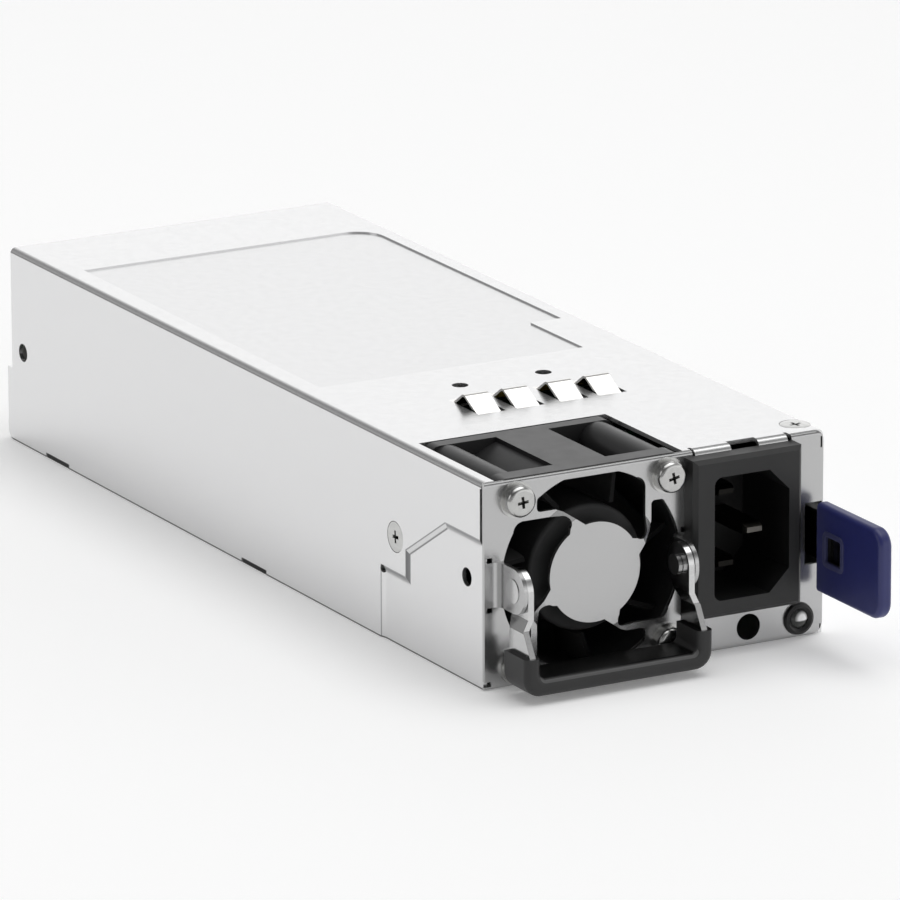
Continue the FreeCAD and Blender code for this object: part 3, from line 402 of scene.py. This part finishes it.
def paint_roll_shade(material, shade):
    """Painted shade on the rolled edges that face upwards and to the front."""
    tree = material.node_tree
    rolled = product(tree, spread(tree, facing_value(tree, "Z"), 0.2, 0.6),
                     spread(tree, facing_value(tree, "Y"), -0.02, -0.15))
    shade_where(material, rolled, shade)


def paint_ear_bend_shade(material, root, shade):
    """Painted shade inside the bend where the left ear leaves the plate."""
    tree = material.node_tree
    bend = product(tree, spread(tree, facing_value(tree, "X"), -0.45, -0.65),
                   spread(tree, facing_value(tree, "Y"), -0.02, -0.1),
                   spread(tree, axis_value(tree, "X"), root + 0.5 * MM, root))
    shade_where(material, bend, shade)


plate_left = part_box("face_plate")[0].x
# Painted shade: dark strips at the foot of the plate and of the floor's sides, then on the plate's
# rolled edge and ear bend.
paint_foot_shade(plate_steel, "Y", 0.45 * MM, grey(0.03))
paint_foot_shade(floor_zinc, "X", 1.5 * MM, grey(0.004))
paint_roll_shade(plate_steel, grey(0.26))
paint_ear_bend_shade(plate_steel, plate_left + 4 * MM, grey(0.26))
print("left edge of the plate:", round(plate_left / MM, 2), "mm")

# %% [markdown]
# ## The pressed step
# The lower front of the left wall is pressed in by 0.4 mm, over sloping borders. Painted shade
# draws them as fine dark lines. Where the borders run level the painted shade is soft, where they
# run aslant two fine painted lines follow their edges, the short upright one is painted dark all
# over, and the long one at the rear gets a single painted line.
# The label area lies in a bed of its own, 0.3 mm deep, that is a touch darker than the top.

# %% Step and label bed
STEP_TILT = math.radians(16)
STEP_DEPTH = 0.4 * MM
STEP_REAR = 33 * MM
BED_DEPTH = 0.3 * MM


def paint_step_shade(material, shade):
    """Painted shade on the sloping borders of the left wall's step."""
    tree = material.node_tree
    sloping = near(tree, facing_value(tree, "X"), -math.cos(STEP_TILT), 0.025)
    steepest = math.sin(STEP_TILT)
    level = spread(tree, facing_value(tree, "Z"), -0.89 * steepest, -0.97 * steepest)
    upright = near(tree, facing_value(tree, "Z"), 0, 0.05)
    rear = spread(tree, axis_value(tree, "Y"), STEP_REAR, STEP_REAR + 1 * MM)
    down = spread(tree, axis_value(tree, "X"), case_low.x, case_low.x + STEP_DEPTH)
    soft = steps(tree, down, [(0.0, 0.45), (0.3, 0.85), (0.7, 0.5), (1.0, 0.05)])
    solid = steps(tree, down, [(0.0, 0.5), (0.15, 1.0), (0.85, 0.9), (1.0, 0.4)])
    single = steps(tree, down, [(0.0, 0.2), (0.1, 1.0), (0.26, 0.05), (1.0, 0.0)])
    pair = steps(tree, down, [(0.0, 0.2), (0.1, 0.9), (0.26, 0.1), (0.68, 0.1), (0.86, 1.0),
                              (1.0, 0.4)])
    standing = mix_colours(tree, rear, solid, single)
    steep = mix_colours(tree, upright, pair, standing)
    darkness = mix_colours(tree, level, steep, soft)
    shade_where(material, product(tree, sloping, darkness), shade)


# Painted shade on the step's borders, on the wall's foot strip and on the cover's rolled nose.
paint_step_shade(zinc, grey(0.17, 0.005))
paint_foot_shade(zinc, "X", 0.35 * MM, grey(0.12))
paint_roll_shade(zinc, grey(0.42))
bed_height = case_high.z - BED_DEPTH
bed = near(zinc.node_tree, axis_value(zinc.node_tree, "Z"), bed_height, 0.05 * MM)
shade_where(zinc, bed, grey(0.735, 0.005))
print("label bed at", round(bed_height / MM, 2), "mm")

# %% [markdown]
# ## Moulded plastics
# The fan, the inlet, the grip and the tab are injection moulded. A mould is spark eroded, which
# leaves a fine even texture, and glass filled grades show faint lighter swirls. So each plastic
# is a dark colour with a little lighter dust, a fine bump, and a roughness that wanders.

# %% Plastic finishes
def plastic(name, colour, dust, roughness, texture_mm=0.25, texture_depth=0.01):
    """Moulded plastic with a spark eroded texture."""
    material, tree, shader = principled(name, colour, 0.0, roughness)
    swirls = noise(tree, size_mm=6, low=0, high=1, detail=3)
    tree.links.new(mix_colours(tree, swirls, colour, dust), shader.inputs["Base Color"])
    uneven = noise(tree, size_mm=4, low=roughness - 0.02, high=roughness + 0.03)
    tree.links.new(uneven, shader.inputs["Roughness"])
    sparks = noise(tree, texture_mm, low=0, high=1, detail=2)
    bump(tree, shader, sparks, strength=0.4, depth_mm=texture_depth)
    return material


def set_specular(material, level):
    """How strongly a plastic's skin mirrors its surroundings."""
    shader = material.node_tree.nodes["Principled BSDF"]
    shader.inputs["Specular IOR Level"].default_value = level


fan_black = plastic("fan_moulding", grey(0.018, 0.0005), grey(0.020, 0.0005), 0.36)
inlet_black = plastic("inlet_moulding", grey(0.006, 0.0002), grey(0.009, 0.0002), 0.45)
tab_blue = plastic("tab_moulding", (0.018, 0.022, 0.118), (0.020, 0.025, 0.130), 0.38)
# The window's rim is the tab's plastic in a lighter blue, a painted highlight on its edges.
tab_rim_highlight = plastic("tab_rim_highlight", (0.036, 0.039, 0.108), (0.042, 0.045, 0.118), 0.5)
cream = plastic("cream_moulding", (0.70, 0.66, 0.55), (0.62, 0.58, 0.47), 0.45)
wear(fan_black, "fan_frame")
wear(inlet_black, "ac_inlet", "lamp_bezel", "relay", "power_transistors")
wear(tab_blue, "latch_tab")
wear(cream, "fan_connector")
print("plastic finishes:", fan_black.name, inlet_black.name, tab_blue.name)

# %% [markdown]
# ## Grip
# The grip is a softer plastic. A painted highlight makes its upper front edge pale, and painted
# shade keeps the faces that look straight up nearly black, as in the shade of the guard.

# %% Grip finish
grip_black = plastic("grip_moulding", grey(0.036, 0.0002), grey(0.040, 0.0002), 0.36, 0.3, 0.006)
set_specular(grip_black, 0.2)
tree = grip_black.node_tree
# Painted highlight on the upper front edge, then painted shade on the faces that look up.
edge_highlight = product(tree, near(tree, facing_value(tree, "Z"), 0.6, 0.2),
                 spread(tree, facing_value(tree, "Y"), -0.4, -0.5))
shade_where(grip_black, edge_highlight, grey(0.10))
shade_where(grip_black, spread(tree, facing_value(tree, "Z"), 0.8, 0.95), grey(0.003))
wear(grip_black, "handle_grip")
print("grip finish:", grip_black.name)

# %% [markdown]
# ## Fan blades
# Hub and blades are one moulding. The hub is smooth and catches light, while the blades stand deep
# in the frame in a slightly paler grey, and painted shade makes their leading edges the darkest
# of all, so that they mirror nothing. The distance from the shaft tells blades from hub, and the
# hub reaches a wall past its magnet.

# %% Blade finish
HUB_WALL = 1.5 * MM
fan_low, fan_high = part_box("fan_impeller")
magnet_low, magnet_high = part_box("rotor_magnet")
hub_edge = (magnet_high.x - magnet_low.x) / 2 + HUB_WALL
blade_black = plastic("fan_blade_moulding", grey(0.030, 0.0005), grey(0.036, 0.0005), 0.5)
set_specular(blade_black, 0.12)
tree = blade_black.node_tree
from_shaft = distance_from_line(tree, (fan_low + fan_high) / 2)
out_of_hub = spread(tree, from_shaft, hub_edge, hub_edge + 0.5 * MM)
shade_where(blade_black, out_of_hub, grey(0.045))
# Painted shade on the blades' leading edges.
leading_edge_shade = spread(tree, facing_value(tree, "Y"), -0.75, -0.9)
shade_where(blade_black, product(tree, out_of_hub, leading_edge_shade), grey(0.003))
wear(blade_black, "fan_impeller")
print("hub radius:", round(hub_edge / MM, 2), "mm")

# %% [markdown]
# ## Hollows in the plastics
# The tab's window and the inlet's socket are deep and narrow, and little light comes back out of
# them. Both are found by their place, and are darkened past their mouths.

# %% Window and socket
tab_low, tab_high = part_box("latch_tab")
spring_low, spring_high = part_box("latch_spring")
spring_middle = (spring_low.z + spring_high.z) / 2
WINDOW_FROM_REAR = (8.8 * MM, 3.2 * MM)
WINDOW_ABOUT_SPRING = (3.9 * MM, 1.4 * MM)
window_y = (tab_high.y - WINDOW_FROM_REAR[0], tab_high.y - WINDOW_FROM_REAR[1])
window_z = (spring_middle - WINDOW_ABOUT_SPRING[0], spring_middle + WINDOW_ABOUT_SPRING[1])


def between(tree, axis, ends):
    """1 between two places along an axis, with a hair's breadth to spare."""
    low, high = ends
    return near(tree, axis_value(tree, axis), (low + high) / 2, (high - low) / 2 + 0.05 * MM)


tree = tab_blue.node_tree
below_face = spread(tree, axis_value(tree, "X"), tab_low.x + 0.05 * MM, tab_low.x + 0.3 * MM)
inside_window = product(tree, below_face, between(tree, "Y", window_y),
                        between(tree, "Z", window_z))
shade_where(tab_blue, inside_window, grey(0.004, 0.002))

tree = inlet_black.node_tree
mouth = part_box("ac_inlet")[0].y + 1 * MM
into_socket = spread(tree, axis_value(tree, "Y"), mouth, 2 * MM)
shade_where(inlet_black, into_socket, grey(0.002))
print("window:", round((window_y[1] - window_y[0]) / MM, 2), "mm long")

# %% [markdown]
# ## Bright metals
# Screws and rivets are nickel plated, the standoffs are brass, and the card edge is gold. They
# reflect more sharply than the sheet, with light scratches that are drawn out one way.

# %% Plated finishes
def plated(name, colour, roughness, scratch=0.2):
    """Plated metal with fine, slightly drawn out scratches."""
    material, tree, shader = principled(name, colour, 1.0, roughness)
    scratches = noise(tree, size_mm=0.9, low=0, high=1, detail=4, stretch=(1, 0.25, 1))
    darker = tuple(0.9 * part for part in colour)
    tree.links.new(mix_colours(tree, scratches, colour, darker), shader.inputs["Base Color"])
    uneven = noise(tree, size_mm=0.8, low=roughness - 0.04, high=roughness + 0.06)
    tree.links.new(uneven, shader.inputs["Roughness"])
    bump(tree, shader, scratches, strength=0.25 * scratch, depth_mm=0.005)
    return material


nickel = plated("nickel_plate", (0.53, 0.53, 0.52), 0.2)
brass = plated("plated_brass", (0.20, 0.19, 0.17), 0.45)
gold = plated("contact_gold", (0.86, 0.64, 0.26), 0.20)
raw_aluminium = plated("raw_aluminium", (0.80, 0.81, 0.82), 0.34, scratch=0.5)
wear(nickel, "fan_screws", "fan_washers", "fan_shaft", "fan_bearings", "latch_rivets",
     "board_screws")
wear(brass, "board_standoffs")
wear(gold, "card_edge_contacts")
wear(raw_aluminium, "heat_sink", "output_capacitors")
print("plated finishes:", nickel.name, brass.name, gold.name)

# %% [markdown]
# ## Dark places on bright metal
# The inlet's blades show a bright tip, and painted shade lets them vanish into the socket behind
# it; their brass is given a dark tone for the same shade. The crosses of the cover's screws are
# shallow, and their floors would mirror the studio, so painted shade darkens whatever lies under
# the case's own faces.

# %% Blades and cover screws
TIP_SHINE = (0.2 * MM, 1.6 * MM)
blade_brass = plated("blade_brass", (0.20, 0.19, 0.17), 0.42)
tree = blade_brass.node_tree
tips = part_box("inlet_pins")[0].y
shade_behind_tip = spread(tree, axis_value(tree, "Y"), tips + TIP_SHINE[0], tips + TIP_SHINE[1])
shade_where(blade_brass, shade_behind_tip, (0.02, 0.019, 0.017))
wear(blade_brass, "inlet_pins")

SKIN = (0.03 * MM, 0.2 * MM)
cover_nickel = plated("cover_screw_plate", (0.60, 0.60, 0.59), 0.2)
tree = cover_nickel.node_tree
recess_shade = product(
    tree, spread(tree, axis_value(tree, "X"), case_low.x + SKIN[0], case_low.x + SKIN[1]),
    spread(tree, axis_value(tree, "X"), case_high.x - SKIN[0], case_high.x - SKIN[1]),
    spread(tree, axis_value(tree, "Z"), case_high.z - SKIN[0], case_high.z - SKIN[1]))
shade_where(cover_nickel, recess_shade, grey(0.03))
wear(cover_nickel, "cover_screws")
print("blade tips at", round(tips / MM, 2), "mm")

# %% [markdown]
# ## Electronics
# Little of the inside shows, through the rear vents and past the fan, but each part has its own
# colour: green boards under a glossy mask, dark ferrite, film capacitors in yellow boxes.

# %% Finishes for the electronics
board_green = plastic("solder_mask", (0.015, 0.10, 0.04), (0.02, 0.13, 0.055), 0.30, 0.8, 0.01)
ferrite = plastic("ferrite_and_wire", (0.05, 0.045, 0.04), (0.11, 0.07, 0.045), 0.5)
film_yellow = plastic("capacitor_box", (0.60, 0.44, 0.06), (0.54, 0.39, 0.05), 0.35)
sleeve = plastic("capacitor_sleeve", (0.02, 0.02, 0.035), (0.03, 0.03, 0.05), 0.25)
fish_paper = plastic("insulation_paper", (0.62, 0.62, 0.55), (0.55, 0.55, 0.48), 0.6)
magnet_grey = plastic("magnet_strip", grey(0.04), grey(0.06), 0.5)
clear_glass = plastic("fuse_glass", (0.85, 0.88, 0.88), (0.80, 0.83, 0.83), 0.08)
wear(board_green, "main_board", "inlet_board", "control_board")
wear(ferrite, "emi_choke", "pfc_choke", "transformer", "fan_stator")
wear(film_yellow, "x_capacitor")
wear(sleeve, "bulk_capacitor")
wear(fish_paper, "insulation_sheet")
wear(magnet_grey, "rotor_magnet")
wear(clear_glass, "input_fuse")
print("electronics:", board_green.name, ferrite.name, film_yellow.name)

# %% [markdown]
# ## Lamp
# The lamp is off. Its clear dome looks dark, but for a painted highlight, a bright half disc that
# stands in for a reflection in the dome. It is drawn as a disc about the lamp's axis whose lower
# part is masked away.

# %% Lamp lens
clear_dome = plastic("lamp_lens", (0.03, 0.032, 0.03), (0.05, 0.052, 0.05), 0.08)
tree = clear_dome.node_tree
lamp_low, lamp_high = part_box("lamp_lens")
lamp_centre = (lamp_low + lamp_high) / 2
highlight_centre = lamp_centre + Vector((0.25 * MM, 0, 0.1 * MM))
highlight_disc = spread(tree, distance_from_line(tree, highlight_centre), 1.5 * MM, 0.8 * MM)
highlight_upper_half = spread(tree, axis_value(tree, "Z"),
                    lamp_centre.z - 0.35 * MM, lamp_centre.z - 0.1 * MM)
shade_where(clear_dome, product(tree, highlight_disc, highlight_upper_half), grey(0.9))
wear(clear_dome, "lamp_lens")
print("every node has a finish:", all(node.data.materials for node in nodes.values()))

# %% [markdown]
# ## Places of the screws
# The places come from the CAD node. Each of its separate solids is one screw, so a copy of the
# mesh has its doubles merged, and then a walk along the edges gathers one solid after another.

# %% Solids of a node
def solids_of(node_name):
    """Lowest and highest corner of each separate solid in a CAD node."""
    shape = bmesh.new()
    shape.from_mesh(nodes[node_name].data)
    bmesh.ops.remove_doubles(shape, verts=shape.verts, dist=1e-6)
    waiting = set(shape.verts)
    corners = []
    while waiting:
        queue = [waiting.pop()]
        found = []
        while queue:
            vert = queue.pop()
            found.append(vert.co.copy())
            for edge in vert.link_edges:
                other = edge.other_vert(vert)
                if other in waiting:
                    waiting.remove(other)
                    queue.append(other)
        corners.append((Vector([min(co[axis] for co in found) for axis in range(3)]),
                        Vector([max(co[axis] for co in found) for axis in range(3)])))
    shape.free()
    return sorted(corners, key=lambda pair: tuple(round(value, 5) for value in pair[0]))


fan_screw_solids = solids_of("fan_screws")
cover_screw_solids = solids_of("cover_screws")
print("screws:", len(fan_screw_solids), "of the fan,", len(cover_screw_solids), "of the cover")

# %% [markdown]
# ## Choosing edges and faces
# In edit mode a hand would click the edges of a rim or the end of a block. Code finds them by
# place or direction. The old selection is cleared in edit mode, the new one is set in object mode,
# where the mesh data can be written, and edit mode then takes it over.

# %% Selection helpers
def activate(piece):
    """Only this piece selected and active."""
    deselect_all()
    piece.select_set(True)
    bpy.context.view_layer.objects.active = piece


def clear_elements(piece, kind):
    """No edge or face selected, in object mode, with that kind chosen for edit mode."""
    activate(piece)
    bpy.ops.object.mode_set(mode="EDIT")
    bpy.ops.mesh.select_mode(type=kind)
    bpy.ops.mesh.select_all(action="DESELECT")
    bpy.ops.object.mode_set(mode="OBJECT")


def edit_edges(piece, chosen):
    """Edit mode with the edges selected whose two ends pass a test."""
    clear_elements(piece, "EDGE")
    points = piece.data.vertices
    for edge in piece.data.edges:
        first, second = edge.vertices
        edge.select = chosen(points[first].co, points[second].co)
    bpy.ops.object.mode_set(mode="EDIT")


def edit_faces(piece, chosen):
    """Edit mode with the faces selected whose direction passes a test."""
    clear_elements(piece, "FACE")
    for face in piece.data.polygons:
        face.select = chosen(face.normal)
    bpy.ops.object.mode_set(mode="EDIT")


print("selection helpers ready")

# %% [markdown]
# ## How a screw is made
# A screw head is struck cold from wire: one blow spreads the head, rolls its rim and drives in a
# cross shaped punch. The cross narrows towards its bottom, so the driver centres itself. Here a
# turned head gets a beveled rim, and a four sided tapered wedge cuts it twice, a quarter turn
# apart. Modelled recesses catch real shadow, which a painted cross would not.

# %% Screw
def cylinder(radius, low, high, segments=48):
    """A cylinder about Z from one height to another."""
    deselect_all()
    bpy.ops.mesh.primitive_cylinder_add(vertices=segments, radius=radius, depth=high - low,
                                        location=(0, 0, (low + high) / 2))
    bpy.ops.object.transform_apply(location=True)
    return bpy.context.object


def cut_cross(screw, reach, width, depth):
    """Cut a tapered cross into a head whose top is at height 0."""
    for turn in (0, 90):
        deselect_all()
        bpy.ops.mesh.primitive_cone_add(vertices=4, radius1=0.3, radius2=1, depth=2,
                                        rotation=(0, 0, math.radians(45)))
        wedge = bpy.context.object
        bpy.ops.object.transform_apply(rotation=True)
        wedge.scale = (reach / math.sqrt(2), width / math.sqrt(2), depth)
        wedge.rotation_euler.z = math.radians(turn)
        bpy.ops.object.transform_apply(rotation=True, scale=True)
        recess = screw.modifiers.new("recess", "BOOLEAN")
        recess.object = wedge
        recess.operation = "DIFFERENCE"
        recess.solver = "EXACT"
        activate(screw)
        bpy.ops.object.modifier_apply(modifier=recess.name)
        bpy.data.objects.remove(wedge)


def screw(name, head_radius, head_height, rim, shank_radius, length, recess):
    """A screw about Z, with the top of its head at height 0."""
    made = cylinder(head_radius, -head_height, 0)
    edit_edges(made, lambda first, second: first.z > -1e-6 and second.z > -1e-6)
    bpy.ops.mesh.bevel(offset=rim, segments=5, affect="EDGES")
    bpy.ops.object.mode_set(mode="OBJECT")
    cut_cross(made, *recess)
    shank = cylinder(shank_radius, -length, -head_height + 0.1 * MM, 24)
    activate(shank)
    made.select_set(True)
    bpy.context.view_layer.objects.active = made
    bpy.ops.object.join()
    bpy.ops.object.shade_smooth_by_angle(angle=math.radians(35))
    made.name = name
    return made


SHANK_RADIUS = 1.5 * MM
print("shank:", 2 * SHANK_RADIUS / MM, "mm across")

# %% [markdown]
# ## Placing a piece
# A finished piece keeps its object at the origin, unturned, with its place in its mesh, as the CAD
# nodes do. So it is turned and moved as an object, and both are then applied to the mesh. Each new
# piece also says which body carries it and which CAD node it stands for.

# %% Placing helpers
def stand(piece, place, outward, spin=0):
    """Turn a piece's Z axis outwards, put it in place, and leave its object at the origin."""
    activate(piece)
    spun = Matrix.Rotation(math.radians(spin), 3, "Z").to_quaternion()
    piece.rotation_euler = (Vector(outward).to_track_quat("Z", "Y") @ spun).to_euler()
    piece.location = place
    bpy.ops.object.transform_apply(location=True, rotation=True)
    return piece


def finish_piece(piece, material, slot, body, *replaced):
    """Material, body and the CAD nodes that a new piece stands for. The slot is not used."""
    piece.data.materials.clear()
    piece.data.materials.append(material)
    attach(piece, body)
    if replaced:
        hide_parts(*replaced)
    return piece


print("placing helpers ready")

# %% [markdown]
# ## Screws of the fan
# Four pan head screws hold the plate to the fan. Their rims are well rounded, each stands on its
# washer, and each is turned a little further than the last, as a driver leaves them.

# %% Fan screws
PAN_RIM = 0.9 * MM
PAN_CROSS = (3.5 * MM, 0.9 * MM, 1.3 * MM)
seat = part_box("fan_washers")[0].y
for number, (low, high) in enumerate(fan_screw_solids, start=1):
    made = screw(f"fan_screw_{number}", (high.x - low.x) / 2, seat - low.y, PAN_RIM, SHANK_RADIUS,
                 high.y - low.y, PAN_CROSS)
    stand(made, ((low.x + high.x) / 2, low.y, (low.z + high.z) / 2), (0, -1, 0), spin=3 * number)
    finish_piece(made, nickel, "bright_steel", "case", "fan_screws")

# %% [markdown]
# ## Screws of the cover
# The cover's screws are flat heads that lie flush in the sheet, one in the top and one in each
# wall. The side of the case that a solid touches tells which way its head looks.

# %% Cover screws
FLAT_HEAD = 0.8 * MM
FLAT_RIM = 0.15 * MM
FLAT_CROSS = (3.8 * MM, 1.0 * MM, 0.7 * MM)
for number, (low, high) in enumerate(cover_screw_solids, start=1):
    centre = (low + high) / 2
    if high.z > case_high.z - 0.1 * MM:
        outward, place, length = (0, 0, 1), (centre.x, centre.y, high.z), high.z - low.z
    elif centre.x > 0:
        outward, place, length = (1, 0, 0), (high.x, centre.y, centre.z), high.x - low.x
    else:
        outward, place, length = (-1, 0, 0), (low.x, centre.y, centre.z), high.x - low.x
    made = screw(f"cover_screw_{number}", (high.y - low.y) / 2, FLAT_HEAD, FLAT_RIM, SHANK_RADIUS,
                 length, FLAT_CROSS)
    stand(made, place, outward, spin=4 * number)
    finish_piece(made, cover_nickel, "bright_steel", "case", "cover_screws")

# %% [markdown]
# ## Blades of the inlet
# The blades are stamped from brass strip, and their tips are struck narrower so that the plug
# finds them. Each blade is a block as wide and thick as its CAD solid, whose front face is
# extruded forwards and drawn in. A boolean is not needed, and the taper stays a clean frustum.

# %% Blades
def blade(name, low, high, tip, share):
    """A flat blade along Y whose tip tapers to a share of its width and thickness."""
    deselect_all()
    middle_x, middle_z = (low.x + high.x) / 2, (low.z + high.z) / 2
    bpy.ops.mesh.primitive_cube_add(size=1, location=(middle_x, (low.y + tip + high.y) / 2,
                                                      middle_z))
    made = bpy.context.object
    made.dimensions = (high.x - low.x, high.y - low.y - tip, high.z - low.z)
    bpy.ops.object.transform_apply(location=True, scale=True)
    edit_faces(made, lambda direction: direction.y < -0.9)
    bpy.ops.mesh.extrude_region_move(TRANSFORM_OT_translate={"value": (0, -tip, 0)})
    bpy.ops.transform.resize(value=(share[0], 1, share[1]),
                             center_override=(middle_x, low.y, middle_z))
    bpy.ops.object.mode_set(mode="OBJECT")
    made.name = name
    return made


BLADE_TIP = 1.6 * MM
TIP_SHARE = (0.8, 0.5)
for number, (low, high) in enumerate(solids_of("inlet_pins"), start=1):
    made = blade(f"inlet_blade_{number}", low, high, BLADE_TIP, TIP_SHARE)
    finish_piece(made, blade_brass, "brass", "case", "inlet_pins")

# %% [markdown]
# ## Window of the finger tab
# The tab is moulded over the end of the spring, and a small window shows the steel that holds it.
# The mould leaves a raised rim round such a window, to seal on the metal. The rim starts as a
# block with round corners, its two faces are inset, and a bridge between the insets opens it.

# %% Rim of the window
def window_rim(name, low, high, corner, band):
    """A frame that lies in a plane across X, between two corners."""
    deselect_all()
    bpy.ops.mesh.primitive_cube_add(size=1, location=(low + high) / 2)
    rim = bpy.context.object
    rim.dimensions = high - low
    bpy.ops.object.transform_apply(location=True, scale=True)
    edit_edges(rim, lambda first, second: abs(first.x - second.x) > 1e-6)
    bpy.ops.mesh.bevel(offset=corner, segments=5, affect="EDGES")
    bpy.ops.object.mode_set(mode="OBJECT")
    edit_faces(rim, lambda direction: abs(direction.x) > 0.9)
    bpy.ops.mesh.inset(thickness=band)
    bpy.ops.mesh.bridge_edge_loops()
    bpy.ops.mesh.select_all(action="SELECT")
    bpy.ops.mesh.normals_make_consistent(inside=False)
    bpy.ops.object.mode_set(mode="OBJECT")
    soft = rim.modifiers.new("soft", "BEVEL")
    soft.width = 0.12 * MM
    soft.segments = 2
    soft.angle_limit = math.radians(50)
    bpy.ops.object.modifier_apply(modifier=soft.name)
    bpy.ops.object.shade_smooth_by_angle(angle=math.radians(40))
    rim.name = name
    return rim


RIM_PROUD = 0.25 * MM
RIM_BURIED = 0.5 * MM
RIM_CORNER = 1.3 * MM
RIM_MARGIN = 0.85 * MM
RIM_LIP = 0.12 * MM
rim = window_rim(
    "tab_window_rim",
    Vector((tab_low.x - RIM_PROUD, window_y[0] - RIM_MARGIN, window_z[0] - RIM_MARGIN)),
    Vector((tab_low.x + RIM_BURIED, window_y[1] + RIM_MARGIN, window_z[1] + RIM_MARGIN)),
    RIM_CORNER, RIM_MARGIN + RIM_LIP)
finish_piece(rim, tab_rim_highlight, "tab_plastic", "latch")
print("rim:", tuple(round(side / MM, 2) for side in rim.dimensions), "mm")
